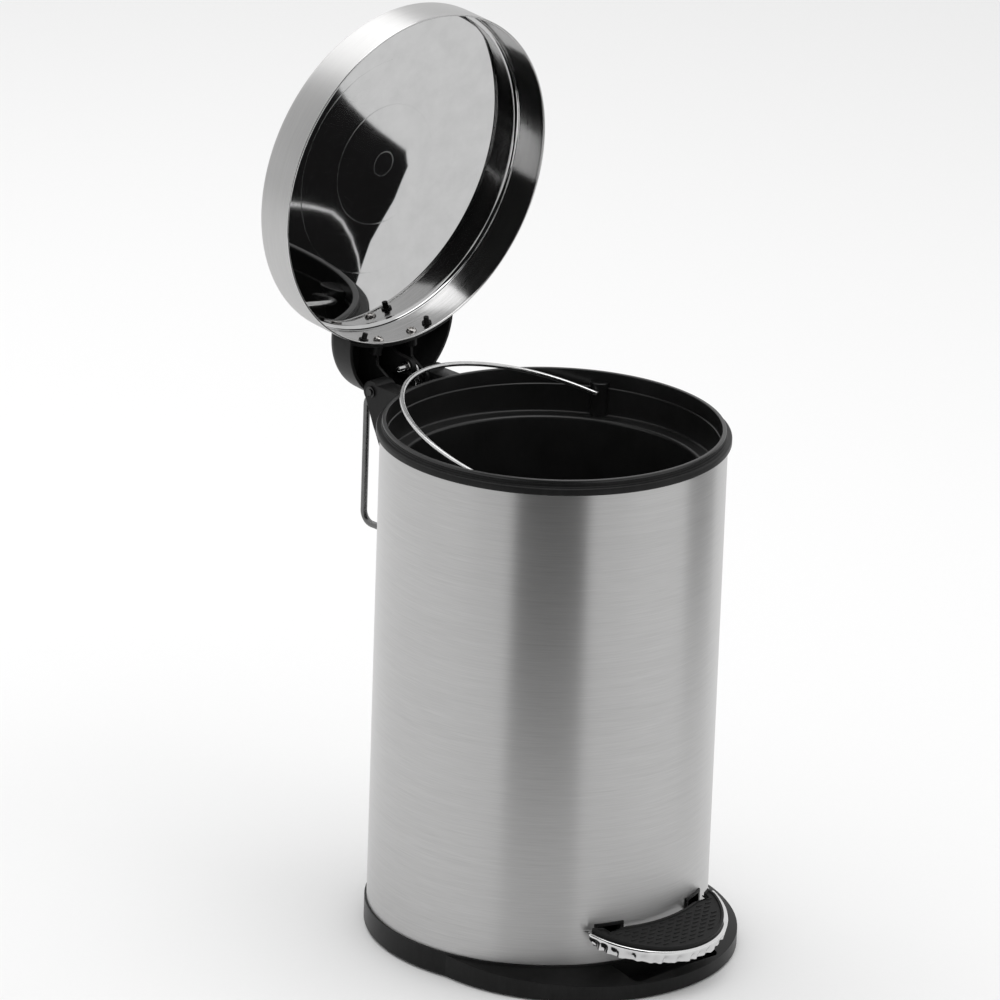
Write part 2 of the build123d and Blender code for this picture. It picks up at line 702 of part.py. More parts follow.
def make_lid_shell():
    lid = lid_form(0) - lid_form(LID_T)
    hem = tube(LID_R - LID_HEM_T, LID_R, LID_Z, LID_Z + LID_HEM_H)
    lid += fillet(hem.edges(), LID_HEM_EDGE)
    for side in (-1, 1):
        lid -= through_skirt(side * SCREW_ANGLE, SCREW_R + SLIP)
        lid -= through_skirt(side * PEG_ANGLE, PEG_D / 2 + SLIP)
    return opened(lid)


def through_skirt(angle, radius):
    """A round bar through the closed lid's skirt at an angle from the back, to cut with."""
    return radial(90 + angle, LID_Z + FIX_Z, LID_R - 17, LID_R + 9.4, radius)


def bowl_form(inset):
    """Half-moon cover behind the lid's skirt; the inset gives its hollow."""
    half = BOWL_HALF_W - inset
    centre_y = LID_R - BOWL_INTO
    reach = HINGE_Y + BOWL_BACK - centre_y - inset
    low = LID_Z + BOWL_LOW - (1 if inset else 0)
    high = LID_Z + BOWL_H - inset
    form = Pos(0, centre_y, low) * extrude(Ellipse(half, reach), amount=high - low)
    form = fillet(form.edges().group_by(Axis.Z)[-1], BOWL_EDGE_R - inset)
    return form - disc(LID_R + FREE + inset, 0, FAR + 100)


def crank_shut():
    """The push rod pin's (y, z) with the lid closed."""
    shut = radians(CRANK_ANGLE + LID_OPEN)
    return HINGE_Y + CRANK_R * cos(shut), HINGE_Z + CRANK_R * sin(shut)


def bracket_ribs():
    """Two ribs that end in the hinge eyes."""
    high = LID_Z + BOWL_H - 0.5
    front = [(LID_R + 1.4, LID_Z + 6.8), (LID_R + 9.4, LID_Z + 6.5), (HINGE_Y - 12.8, LID_Z + 5.0)]
    eye = [(HINGE_Y - EYE_R, HINGE_Z + 1), (HINGE_Y + EYE_R, HINGE_Z + 1)]
    back = [(HINGE_Y + 11.5, LID_Z + 4.0), (HINGE_Y + 13.0, high), (LID_R + 1.4, high)]
    outline = front + eye + back
    rib = slab(outline, RIB_X - RIB_T / 2, RIB_X + RIB_T / 2)
    rib += across(RIB_X - RIB_T / 2, RIB_X + RIB_T / 2, HINGE_Y, HINGE_Z, EYE_R)
    return both_sides(rib)


def bracket_arm():
    """Middle arm that carries the push rod's hook."""
    y, z = crank_shut()
    high = LID_Z + BOWL_H - 0.5
    front = [(y - ARM_END_R, z), (y - ARM_END_R, LID_Z + 8), (LID_R + 5.4, high)]
    outline = front + [(HINGE_Y + 1.5, high), (y + ARM_END_R, z)]
    arm = slab(outline, ARM_X, ARM_X + ARM_T)
    return arm + across(ARM_X, ARM_X + ARM_T, y, z, ARM_END_R)


def make_lid_bracket():
    outside = bowl_form(0)
    body = outside - bowl_form(BOWL_WALL)
    reach = outside + block((-FAR, FAR), (0, FAR), (0, LID_Z + BOWL_LOW + 1))
    for part in bracket_ribs() + [bracket_arm()]:
        body += part & reach
    for side in (-1, 1):
        height = LID_Z + FIX_Z
        body += radial(90 + side * SCREW_ANGLE, height, LID_R + 1, LID_R + 10.4, BOSS_R) & outside
        body += radial(90 + side * PEG_ANGLE, height, LID_R - PEG_PROUD, LID_R + 4.4, PEG_D / 2)
        body -= through_skirt(side * SCREW_ANGLE, LID_SCREW_R + RUN)
    y, z = crank_shut()
    body -= across(-FAR, FAR, HINGE_Y, HINGE_Z, PIN_D / 2 + RUN)
    body -= across(ARM_X - 1, ARM_X + ARM_T + 1, y, z, ROD_D / 2 + RUN)
    return opened(body)


def make_lid_screws():
    seat = LID_SEAT_R
    screws = []
    for side in (-1, 1):
        angle = 90 + side * SCREW_ANGLE
        shank = radial(angle, LID_Z + FIX_Z, seat - 1, LID_R + LID_SCREW_L, LID_SCREW_R)
        head = radial(angle, LID_Z + FIX_Z, seat - 2.5, seat - SLIP, 4.0)
        inner = head.faces().sort_by(Axis.Y)[0].edges()
        screws.append(opened(shank + fillet(inner, 1.4)))
    return screws


def make_peg_washers():
    washers = []
    for side in (-1, 1):
        angle = 90 + side * PEG_ANGLE
        washer = radial(angle, LID_Z + FIX_Z, LID_SEAT_R - 1.1, LID_SEAT_R - 0.2, 3.6)
        washer -= through_skirt(side * PEG_ANGLE, PEG_D / 2 + RUN)
        washers.append(opened(washer))
    return washers


# Push rod and pedal -------------------------------------------------------------------

def make_push_rod():
    head_end = ARM_X - 10.0
    foot_end = ROD_X - 12.5
    neck = (ROD_X, HINGE_Y - 6.0, HINGE_Z - 11.2)
    waist = (ROD_X, SHELL_R - 4.7, HINGE_Z - 96.2)
    points = [(head_end, ROD_HEAD_Y, ROD_HEAD_Z), (ROD_X, ROD_HEAD_Y, ROD_HEAD_Z), neck, waist,
              (ROD_X, ROD_FOOT_Y, ROD_FOOT_Z), (foot_end, ROD_FOOT_Y, ROD_FOOT_Z)]
    return bent_wire(points, ROD_BEND, ROD_D)


def make_rod_clips():
    clips = [(ARM_X - 1.4, ROD_HEAD_Y, ROD_HEAD_Z), (ROD_X - 10.0, ROD_FOOT_Y, ROD_FOOT_Z)]
    return [spring_clip(x, y, z, ROD_D / 2 + 0.02, CLIP_T) for x, y, z in clips]


def plate_under(y):
    """Height of the pedal plate's underside at a y."""
    slope = tan(radians(PEDAL_TILT))
    return PEDAL_TIP_Z - (PEDAL_TIP_Y - y) * slope - PEDAL_T / cos(radians(PEDAL_TILT)) - 0.02


def lever_line():
    """Top of each lever arm from the pedal to behind the axle."""
    wall = -sqrt(SHELL_R**2 - ARM_CENTRE**2)
    slot = arm_top_at_shell()
    level = PIVOT_Z + LEVER_RISE
    ends = (PEDAL_TIP_Y - LEVER_REACH, PEDAL_TIP_Y - LEVER_SEAT)
    outside = [(y, plate_under(y)) for y in ends]
    through = [(wall - 3.5, slot + 0.2), (wall + 8, slot)]
    return outside + through + [(PIVOT_Y - 12, level), (PIVOT_Y + BRIDGE_END, level)]


def make_pedal_lever():
    low, high = ARM_CENTRE - ARM_W / 2, ARM_CENTRE + ARM_W / 2
    arm = strap(lever_line(), STRAP_T, low, high)
    ear_low = high - EAR_T
    ear = across(ear_low, high, PIVOT_Y, PIVOT_Z, 8.0)
    ear += block((ear_low, high), (PIVOT_Y - 8, PIVOT_Y + 8), (PIVOT_Z, PIVOT_Z + 6))
    body = None
    for piece in both_sides(arm + ear):
        body = piece if body is None else body + piece
    bridge_top = PIVOT_Z + LEVER_RISE
    bridge_y = (PIVOT_Y + BRIDGE_START, PIVOT_Y + BRIDGE_END)
    body += block((-low, low), bridge_y, (bridge_top - STRAP_T, bridge_top))
    tongue = [(PIVOT_Y + 20, bridge_top), (PIVOT_Y + 55, ROD_FOOT_Z + 3.5)]
    tongue += [(ROD_FOOT_Y - 9, ROD_FOOT_Z + 1.5)]
    body += strap(tongue, STRAP_T, ROD_X - 13, ROD_X + 7)
    hole_y, hole_z = ROD_FOOT_Y - ROD_SLACK_SHIFT, ROD_FOOT_Z + ROD_SLACK_SHIFT
    eye = ROD_SLACK_R + ROD_EYE_WALL
    body += block((ROD_X - 7.5, ROD_X - 4.5), (ROD_FOOT_Y - 17, hole_y + eye), (hole_z - eye, hole_z + eye))
    body -= across(ROD_X - 9, ROD_X - 3, hole_y, hole_z, ROD_SLACK_R)
    body -= across(-FAR, FAR, PIVOT_Y, PIVOT_Z, AXLE_D / 2 + 1.6)
    for place in rivet_places():
        body -= on_pedal(rivet_bar(place, RIVET_R + SLIP, -20, 5))
    return body


def make_lever_bushes():
    high = ARM_CENTRE + ARM_W / 2
    sleeve = across(high - EAR_T - 0.2, high + 0.2, PIVOT_Y, PIVOT_Z, AXLE_D / 2 + 1.55)
    flange = across(high + 0.1, high + 1.4, PIVOT_Y, PIVOT_Z, AXLE_D / 2 + 3.2)
    bush = sleeve + flange - across(0, FAR, PIVOT_Y, PIVOT_Z, AXLE_D / 2 + RUN)
    return both_sides(bush)


def pedal_outline(inset):
    """Half-moon seen from above, level, with y from the tips; the inset moves the front."""
    round_front = Pos(0, PEDAL_R - PEDAL_REACH) * Circle(PEDAL_R - inset)
    return round_front - rear_edge(0)


def rear_edge(gap):
    """Round rear edge that follows the barrel, as a disc to cut with."""
    squeeze = 1 / cos(radians(PEDAL_TILT))
    return Pos(0, -PEDAL_TIP_Y * squeeze) * Ellipse(PEDAL_REAR_R + gap, (PEDAL_REAR_R + gap) * squeeze)


def rear_notches():
    """Two shallow notches where the plate clears the arms' bezels."""
    y = -(sqrt(PEDAL_REAR_R**2 - ARM_CENTRE**2) + PEDAL_TIP_Y)
    notch = Pos(ARM_CENTRE, y + 4 - NOTCH_DEPTH) * Rectangle(NOTCH_W, 8)
    return notch + notch.mirror(Plane.YZ)


def make_pedal_plate():
    outline = pedal_outline(0) & Rectangle(2 * PEDAL_HALF_W, FAR)
    plate = Pos(0, 0, -PEDAL_T) * extrude(outline - rear_notches(), amount=PEDAL_T)
    rim = pedal_outline(0) - Pos(0, PEDAL_R - PEDAL_REACH) * Circle(PEDAL_R - PEDAL_T)
    skirt = Pos(0, 0, -PEDAL_SKIRT) * extrude(rim & Rectangle(2 * PEDAL_R, FAR), amount=PEDAL_SKIRT)
    low = -PEDAL_SKIRT - 1
    slant = [(4.0, 1.0), (-12.0, low), (FAR, low), (FAR, 1.0)]
    body = plate + (skirt - slab(slant, -FAR, FAR))
    for place in rivet_places():
        body -= rivet_bar(place, RIVET_R + SLIP, -5, 5)
    return on_pedal(body)


def rivet_places():
    """Rivets that hold the plate on the arms, level, with y from the tips."""
    return [(side * ARM_CENTRE, -out) for side in (-1, 1) for out in RIVET_FRONT]


def rivet_bar(place, radius, low, high):
    """A short upright bar at a rivet's place."""
    return rod_between((*place, low), (*place, high), radius)


def make_rivets():
    under = -PEDAL_T - STRAP_T
    rivets = []
    for place in rivet_places():
        rivet = rivet_bar(place, RIVET_R, under - 1.0, -RUN)
        rivet += rivet_bar(place, RIVET_HEAD_R, under - 1.4, under - 0.12)
        rivets.append(on_pedal(rivet))
    return rivets


def pad_outline(inset):
    """The pad's outline; the inset moves all its edges inwards."""
    shape = pedal_outline(PAD_INSET + inset) - rear_edge(PAD_REAR_GAP + inset)
    return shape & Rectangle(2 * (PEDAL_HALF_W - PAD_END_INSET - inset), FAR)


def make_pedal_pad():
    whole = pad_outline(0) - rear_notches()
    low = PAD_T - PAD_BORDER
    base = Pos(0, 0, 0.02) * extrude(whole, amount=low)
    border = whole - pad_outline(PAD_BORDER_W)
    raised = Pos(0, 0, low - 0.5) * extrude(border, amount=PAD_BORDER + 0.5)
    return on_pedal(base + raised)


MAKERS = {
    "shell": make_shell,
    "rim_ring": make_rim_ring,
    "base": make_base,
    "foot_ring": make_foot_ring,
    "base_screws": make_base_screws,
    "lever_axle": make_lever_axle,
    "axle_clips": make_axle_clips,
    "slot_bezels": make_slot_bezels,
    "hinge_mount": make_hinge_mount,
    "hinge_backing_plate": make_backing_plate,
    "hinge_mount_screws": make_mount_screws,
    "hinge_pins": make_hinge_pins,
    "hinge_pin_clips": make_pin_clips,
    "rear_handle": make_rear_handle,
    "handle_push_nuts": make_push_nuts,
    "bucket": make_bucket,
    "bail_handle": make_bail,
    "lid_shell": make_lid_shell,
    "lid_bracket": make_lid_bracket,
    "lid_screws": make_lid_screws,
    "peg_washers": make_peg_washers,
    "push_rod": make_push_rod,
    "rod_clips": make_rod_clips,
    "pedal_lever": make_pedal_lever,
    "lever_bushes": make_lever_bushes,
    "pedal_plate": make_pedal_plate,
    "pedal_rivets": make_rivets,
    "pedal_pad": make_pedal_pad,
}

os.makedirs("parts", exist_ok=True)
for node, make in MAKERS.items():
    save(node, make())

shut_y, shut_z = crank_shut()
lean_open = atan2(ROD_FOOT_Z - ROD_HEAD_Z, ROD_FOOT_Y - ROD_HEAD_Y)
lean_shut = atan2(rod_foot_shut() - shut_z, ROD_FOOT_Y - shut_y)
print("pedal swing", round(pedal_swing(), 3), "rod turn", round(degrees(lean_shut - lean_open), 3))
print("rod pin", round(ROD_HEAD_Y, 3), round(ROD_HEAD_Z, 3))
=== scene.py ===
"""Visual model of a pedal trash can, built around its fixed CAD frame.

Lengths are millimetres until a mesh is made, and metres after that. Z is up, the pedal is towards
-Y and the lid's hinge towards +Y. Lid pieces are drawn with the lid closed and then swung open.
"""

import logging
import math
from collections.abc import Sequence
from dataclasses import dataclass, field
from enum import Enum

import bmesh
import bpy
from mathutils import Matrix, Quaternion, Vector


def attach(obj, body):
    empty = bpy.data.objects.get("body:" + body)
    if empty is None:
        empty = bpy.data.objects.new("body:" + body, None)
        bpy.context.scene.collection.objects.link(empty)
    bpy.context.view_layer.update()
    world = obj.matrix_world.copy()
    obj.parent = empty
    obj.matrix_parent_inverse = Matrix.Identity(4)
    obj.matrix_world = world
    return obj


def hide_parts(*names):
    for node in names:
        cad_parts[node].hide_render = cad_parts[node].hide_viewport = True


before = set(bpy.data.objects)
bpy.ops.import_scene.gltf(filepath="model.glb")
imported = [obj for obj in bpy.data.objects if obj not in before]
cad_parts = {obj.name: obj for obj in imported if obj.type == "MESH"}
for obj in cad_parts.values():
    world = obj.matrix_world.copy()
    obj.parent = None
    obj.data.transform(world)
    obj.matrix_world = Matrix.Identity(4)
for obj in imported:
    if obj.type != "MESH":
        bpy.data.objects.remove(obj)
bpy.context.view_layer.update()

LOG = logging.getLogger("trash_can")
MM = 0.001
TURNS = 288                # divisions of a full turn
SHARP = math.radians(34)   # a crease sharper than this stays crisp
WELD = 2e-6                # metres within which two points are one

Number = float | int
Colour = tuple[float, float, float, float]
Corner = tuple[float, float, float]


def grey(level: float, warmth: float = 0.0) -> Colour:
    """A grey of a linear level, slightly warm above 0."""
    return (level * (1 + warmth), level, level * (1 - warmth), 1.0)


class Body(Enum):
    """The moving bodies of the frame."""

    HOUSING = "housing"
    BAIL = "bail"
    LID = "lid"
    ROD = "push_rod"
    PEDAL = "pedal"


class Slot(Enum):
    """The record's material slots."""

    BARREL = "barrel_steel"
    LID = "lid_steel"
    CHROME = "pedal_chrome"
    WIRE = "wire_steel"
    LEVER = "lever_steel"
    ZINC = "zinc_steel"
    BLACK = "black_plastic"
    BUCKET = "bucket_plastic"
    RUBBER = "rubber"


# Shader graphs ------------------------------------------------------------------------


class Value:
    """A shader socket that takes part in arithmetic."""

    def __init__(self, graph: "Graph", socket: bpy.types.NodeSocket) -> None:
        """Args:
            graph: The graph that owns the socket.
            socket: The output socket that is wrapped.
        """
        self.graph = graph
        self.socket = socket

    def _maths(self, operation: str, *terms: "Value | Number") -> "Value":
        """Add a Math node.

        Args:
            operation: Blender's name of the operation.
            terms: Its inputs in order.

        Returns:
            The node's result.
        """
        inputs = dict(enumerate(terms))
        return self.graph.node("ShaderNodeMath", {"operation": operation}, inputs)

    def __add__(self, other: "Value | Number") -> "Value":
        """Sum."""
        return self._maths("ADD", self, other)

    def __sub__(self, other: "Value | Number") -> "Value":
        """Difference."""
        return self._maths("SUBTRACT", self, other)

    def __rsub__(self, other: Number) -> "Value":
        """Difference from a number."""
        return self._maths("SUBTRACT", other, self)

    def __mul__(self, other: "Value | Number") -> "Value":
        """Product."""
        return self._maths("MULTIPLY", self, other)

    def __pow__(self, other: "Value | Number") -> "Value":
        """Power."""
        return self._maths("POWER", self, other)

    def __rpow__(self, other: Number) -> "Value":
        """Power of a number."""
        return self._maths("POWER", other, self)

    __radd__ = __add__
    __rmul__ = __mul__

    def sine(self) -> "Value":
        """Sine of an angle in radians."""
        return self._maths("SINE", self)

    def length_with(self, other: "Value") -> "Value":
        """Distance of the point (other, self) from the origin."""
        return (self * self + other * other) ** 0.5

    def within(self, low: float, high: float) -> "Value":
        """Share of the way from low to high, kept between 0 and 1."""
        inputs = {"Value": self, "From Min": low, "From Max": high}
        return self.graph.node("ShaderNodeMapRange", {"clamp": True}, inputs)


class Graph:
    """The node tree of one material or of the world."""

    def __init__(self, owner: bpy.types.Material | bpy.types.World) -> None:
        """Args:
            owner: The material or world whose tree is rebuilt from nothing.
        """
        owner.use_nodes = True
        self.tree = owner.node_tree
        self.tree.nodes.clear()

    def node(
        self,
        kind: str,
        settings: dict[str, object] | None = None,
        inputs: dict[str | int, object] | None = None,
        output: str | int = 0,
    ) -> Value:
        """Add a node.

        Args:
            kind: Blender's type name of the node.
            settings: Properties to set first.
            inputs: Numbers, colours, vectors or values for its sockets.
            output: The socket that is returned.

        Returns:
            The chosen output.
        """
        made = self.tree.nodes.new(kind)
        for name, setting in (settings or {}).items():
            setattr(made, name, setting)
        for key, given in (inputs or {}).items():
            if isinstance(given, Value):
                self.tree.links.new(given.socket, made.inputs[key])
            else:
                made.inputs[key].default_value = given
        return Value(self, made.outputs[output])

    def place(self) -> Value:
        """Position in the piece's own frame, in metres."""
        return self.node("ShaderNodeTexCoord", output="Object")

    def parts(self, vector: Value) -> tuple[Value, Value, Value]:
        """X, Y and Z of a vector.

        Args:
            vector: The vector.

        Returns:
            Its three numbers.
        """
        first = self.node("ShaderNodeSeparateXYZ", inputs={0: vector})
        outputs = first.socket.node.outputs
        return first, Value(self, outputs[1]), Value(self, outputs[2])

    def vector(self, x: Value | Number, y: Value | Number, z: Value | Number) -> Value:
        """A vector from three numbers or values."""
        return self.node("ShaderNodeCombineXYZ", inputs={0: x, 1: y, 2: z})

    def stretched(self, vector: Value, factors: tuple[float, float, float]) -> Value:
        """A vector multiplied by a factor for each axis."""
        return self.node("ShaderNodeVectorMath", {"operation": "MULTIPLY"}, {0: vector, 1: factors})

    def noise(self, vector: Value, scale: float, detail: float = 2.0, roughness: float = 0.5) -> Value:
        """Noise from 0 to 1.

        Args:
            vector: Where it is read.
            scale: Cells for each unit of the vector.
            detail: Number of finer layers.
            roughness: Strength of each finer layer.

        Returns:
            The noise value.
        """
        inputs = {"Vector": vector, "Scale": scale, "Detail": detail, "Roughness": roughness}
        return self.node("ShaderNodeTexNoise", inputs=inputs)

    def blend(self, share: Value | Number, low: Value | Colour, high: Value | Colour) -> Value:
        """A colour between two colours."""
        settings = {"data_type": "RGBA", "blend_type": "MIX"}
        return self.node("ShaderNodeMix", settings, {0: share, 6: low, 7: high}, output=2)

    def bumped(self, height: Value, distance: float, strength: float = 1.0) -> Value:
        """A normal from a height.

        Args:
            height: Height as a share of the distance.
            distance: Height of a full share, in metres.
            strength: How much of it shows.

        Returns:
            The normal.
        """
        inputs = {"Height": height, "Distance": distance, "Strength": strength}
        return self.node("ShaderNodeBump", inputs=inputs)

    def shades(self, share: Value, level: float, depth: float, warmth: float) -> Value:
        """A grey that varies by a share of its level each way."""
        return self.blend(share, grey(level * (1 - depth), warmth), grey(level * (1 + depth), warmth))

    def metal(
        self, colour: Value, roughness: Value, normal: Value, more: dict[str, Number] | None = None
    ) -> None:
        """End the material in a metal with these inputs and any more."""
        inputs = {"Base Color": colour, "Metallic": 1.0, "Roughness": roughness, "Normal": normal}
        self.surface(inputs | (more or {}))

    def surface(self, inputs: dict[str, object]) -> None:
        """End the material in a principled shader with these inputs."""
        shader = self.node("ShaderNodeBsdfPrincipled", inputs=inputs, output="BSDF")
        self.node_end("ShaderNodeOutputMaterial", shader)

    def node_end(self, kind: str, shader: Value) -> None:
        """Link a shader to the tree's output node."""
        end = self.tree.nodes.new(kind)
        self.tree.links.new(shader.socket, end.inputs["Surface"])


# Finishes -----------------------------------------------------------------------------


@dataclass(frozen=True)
class Finish:
    """A surface finish; each kind says how its shader is made."""

    name: str
    slot: Slot | None

    def material(self) -> bpy.types.Material:
        """The finish's material, made when it is first asked for.

        Returns:
            The material.
        """
        known = bpy.data.materials.get(self.name)
        if known is not None and known.get("made_here"):
            return known
        made = bpy.data.materials.new(self.name)
        made["made_here"] = True
        self.shade(Graph(made))
        return made

    def shade(self, graph: Graph) -> None:
        """Fill the material's node tree."""
        raise NotImplementedError


@dataclass(frozen=True)
class BrushedSteel(Finish):
    """Sheet steel brushed round its axis, so that its highlights spread along it."""

    level: float = 0.50
    warmth: float = 0.004
    roughness: float = 0.34
    spread: float = 0.80
    grain_length: float = 26.0
    grain_pitch: float = 0.42
    grain_depth: float = 0.10

    def streaks(self, graph: Graph, length: float, pitch: float) -> Value:
        """Fine lines that run round the Z axis.

        Args:
            graph: The material's graph.
            length: Length of a streak in millimetres.
            pitch: Distance between streaks in millimetres.

        Returns:
            Noise from 0 to 1.
        """
        x, y, z = graph.parts(graph.place())
        around = 1 / (length * MM)
        along = 1 / (pitch * MM)
        run = graph.vector(x * around, y * around, (z + y.length_with(x)) * along)
        return graph.noise(run, 1.0, 3.0, 0.6)

    def shade(self, graph: Graph) -> None:
        """Streaks in colour, roughness and height.

        Args:
            graph: The material's graph.
        """
        fine = self.streaks(graph, self.grain_length, self.grain_pitch)
        broad = self.streaks(graph, self.grain_length * 3.2, self.grain_pitch * 6)
        cloud = graph.noise(graph.place(), 9.0, 3.0)
        grain = fine * 0.72 + broad * 0.28
        tone = graph.shades(grain.within(0.30, 0.70), self.level, self.grain_depth, self.warmth)
        rough = self.roughness + (grain - 0.5) * 0.16 + (cloud - 0.5) * 0.05
        normal = graph.bumped(grain, 0.00002, 0.5)
        graph.metal(tone, rough, normal, {"Anisotropic": self.spread, "Anisotropic Rotation": 0.25})


@dataclass(frozen=True)
class PolishedSteel(Finish):
    """Bright pressed or plated steel with faint wiping marks."""

    level: float = 0.72
    roughness: float = 0.07
    haze: float = 0.05
    ring_pitch: float = 0.0
    ring_height: float = 0.000004
    ring_haze: float = 0.0
    wave: float = 0.00004

    def shade(self, graph: Graph) -> None:
        """Haze in roughness, a slow unevenness and rings left by spinning.

        Args:
            graph: The material's graph.
        """
        place = graph.place()
        x, y, _ = graph.parts(place)
        haze = graph.noise(place, 55.0, 5.0, 0.62)
        wiping = graph.noise(graph.stretched(place, (900.0, 60.0, 300.0)), 1.0, 2.0)
        slow = graph.noise(place, 22.0, 1.0)
        height = slow * self.wave
        rough = self.roughness + haze * self.haze + wiping.within(0.6, 0.9) * self.haze
        if self.ring_pitch > 0:
            turn = y.length_with(x) * (2 * math.pi / (self.ring_pitch * MM))
            height = height + turn.sine() * self.ring_height
            rough = rough + turn.sine().within(0.996, 1.0) * self.ring_haze
        tone = graph.blend(haze.within(0.35, 0.75), grey(self.level), grey(self.level * 0.90))
        graph.metal(tone, rough, graph.bumped(height, 1.0))


@dataclass(frozen=True)
class Moulding(Finish):
    """Moulded plastic or rubber with a fine grain and some handling marks."""

    level: float = 0.012
    worn: float = 0.030
    roughness: float = 0.40
    grain: float = 1500.0
    grain_height: float = 0.00003
    gloss: float = 0.5
    marks: float = 0.10

    def shade(self, graph: Graph) -> None:
        """Grain in height, slow cloudiness in colour and scuffs in roughness.

        Args:
            graph: The material's graph.
        """
        place = graph.place()
        grain = graph.noise(place, self.grain, 2.0, 0.6)
        cloud = graph.noise(place, 30.0, 4.0, 0.6)
        scuff = graph.noise(graph.stretched(place, (700.0, 260.0, 90.0)), 1.0, 3.0, 0.7)
        tone = graph.blend(
            (cloud * 0.6 + scuff * 0.4).within(0.40, 0.80), grey(self.level), grey(self.worn)
        )
        graph.surface({
            "Base Color": tone,
            "Metallic": 0.0,
            "Roughness": self.roughness + (cloud - 0.5) * self.marks + scuff.within(0.6, 0.9) * self.marks,
            "Specular IOR Level": self.gloss,
            "Normal": graph.bumped(grain, self.grain_height, 0.7),
        })


@dataclass(frozen=True)
class DrawnWire(Finish):
    """Drawn and plated wire or small turned hardware."""

    level: float = 0.55
    warmth: float = 0.0
    roughness: float = 0.22
    mottle: float = 0.12

    def shade(self, graph: Graph) -> None:
        """Mottled plating with drawing lines.

        Args:
            graph: The material's graph.
        """
        place = graph.place()
        mottle = graph.noise(place, 240.0, 4.0, 0.6)
        lines = graph.noise(graph.stretched(place, (2600.0, 2600.0, 120.0)), 1.0, 2.0)
        tone = graph.shades(mottle.within(0.3, 0.7), self.level, self.mottle, self.warmth)
        rough = self.roughness + (mottle - 0.5) * 0.15 + (lines - 0.5) * 0.08
        graph.metal(tone, rough, graph.bumped(lines, 0.00001, 0.6))


@dataclass(frozen=True)
class PalePaper(Finish):
    """The seamless floor that the can stands on."""

    level: float = 0.86

    def shade(self, graph: Graph) -> None:
        """A matt surface with the slightest tooth.

        Args:
            graph: The material's graph.
        """
        tooth = graph.noise(graph.place(), 260.0, 2.0)
        tone = graph.blend(tooth, grey(self.level), grey(self.level * 0.985))
        graph.surface({"Base Color": tone, "Roughness": 0.92, "Specular IOR Level": 0.1})


@dataclass(frozen=True)
class BlackCard(Finish):
    """Unlit card that the metal mirrors."""

    level: float = 0.01

    def shade(self, graph: Graph) -> None:
        """A matt black."""
        graph.surface({"Base Color": grey(self.level), "Roughness": 1.0, "Specular IOR Level": 0.0})


BARREL_STEEL = BrushedSteel("brushed_barrel_steel", Slot.BARREL)
LID_STEEL = BrushedSteel("brushed_lid_steel", Slot.LID, level=0.56, roughness=0.42, grain_depth=0.07)
LID_MIRROR = PolishedSteel(
    "mirror_lid_steel", Slot.LID, level=0.58, roughness=0.010, haze=0.010,
    ring_pitch=37.0, wave=0.000003, ring_height=0.0000002, ring_haze=0.045,
)
LID_WALL = BrushedSteel(
    "lid_wall_steel", Slot.LID, level=0.58, roughness=0.15, spread=0.6, grain_length=34.0, grain_depth=0.12
)
PEDAL_CHROME = PolishedSteel("pedal_chrome_plate", Slot.CHROME, level=0.78, roughness=0.06)
BRIGHT_WIRE = DrawnWire("bright_wire", Slot.WIRE, level=0.62)
DARK_WIRE = DrawnWire("dark_handle_wire", Slot.WIRE, level=0.16, roughness=0.28)
LEVER_STEEL = DrawnWire("lever_steel_strip", Slot.LEVER, level=0.20, roughness=0.42)
ZINC = DrawnWire("zinc_plate", Slot.ZINC, level=0.58, warmth=0.03, roughness=0.24)
BLACKED_PIN = DrawnWire("blacked_pin_steel", Slot.ZINC, level=0.05, roughness=0.34)
BLACK_PLASTIC = Moulding("satin_black_plastic", Slot.BLACK, level=0.008, worn=0.018, gloss=0.15)
BASE_PLASTIC = Moulding(
    "base_black_plastic", Slot.BLACK, level=0.008, worn=0.016, roughness=0.34, grain=900.0, gloss=0.12
)
BUCKET_PLASTIC = Moulding("bucket_black_plastic", Slot.BUCKET, level=0.007, worn=0.014, roughness=0.33)
RUBBER = Moulding(
    "tread_rubber", Slot.RUBBER, level=0.010, worn=0.018, roughness=0.55, grain=2200.0, gloss=0.2
)
FLOOR_PAPER = PalePaper("floor_paper", None)
FLAG_CARD = BlackCard("flag_card", None)


# Mesh forms ---------------------------------------------------------------------------


def softened(corners: Sequence[tuple[Vector, float]], closed: bool = False, steps: int = 6) -> list[Vector]:
    """Round the corners of a run of straight lines.

    Args:
        corners: Points with the radius of each one's bend; 0 keeps it sharp.
        closed: Whether the last point joins the first.
        steps: Number of divisions in each bend.

    Returns:
        The points of the rounded run.
    """
    made: list[Vector] = []
    count = len(corners)
    for i, (corner, radius) in enumerate(corners):
        ends = not closed and i in (0, count - 1)
        if radius <= 0 or ends:
            made.append(corner.copy())
            continue
        before = (corner - corners[i - 1][0]).normalized()
        after = (corners[(i + 1) % count][0] - corner).normalized()
        bend = before.angle(after)
        start = corner - before * radius * math.tan(bend / 2)
        centre = corner + (after - before).normalized() * radius / math.cos(bend / 2)
        axis = before.cross(after).normalized()
        for step in range(steps + 1):
            turned = Quaternion(axis, bend * step / steps)
            made.append(centre + turned @ (start - centre))
    return made


def profile(corners: Sequence[Corner], closed: bool = True, steps: int = 5) -> list[Vector]:
    """Round an outline in the plane of radius and height.

    Args:
        corners: Radius, height and bend radius of each corner.
        closed: Whether the outline closes on itself.
        steps: Number of divisions in each bend.

    Returns:
        Points with the radius in X and the height in Z.
    """
    return softened([(Vector((r, 0, z)), bend) for r, z, bend in corners], closed, steps)


def polar(radius: float, angle: float, z: float = 0.0) -> Vector:
    """A point at a radius and an angle about Z."""
    return Vector((radius * math.cos(angle), radius * math.sin(angle), z))


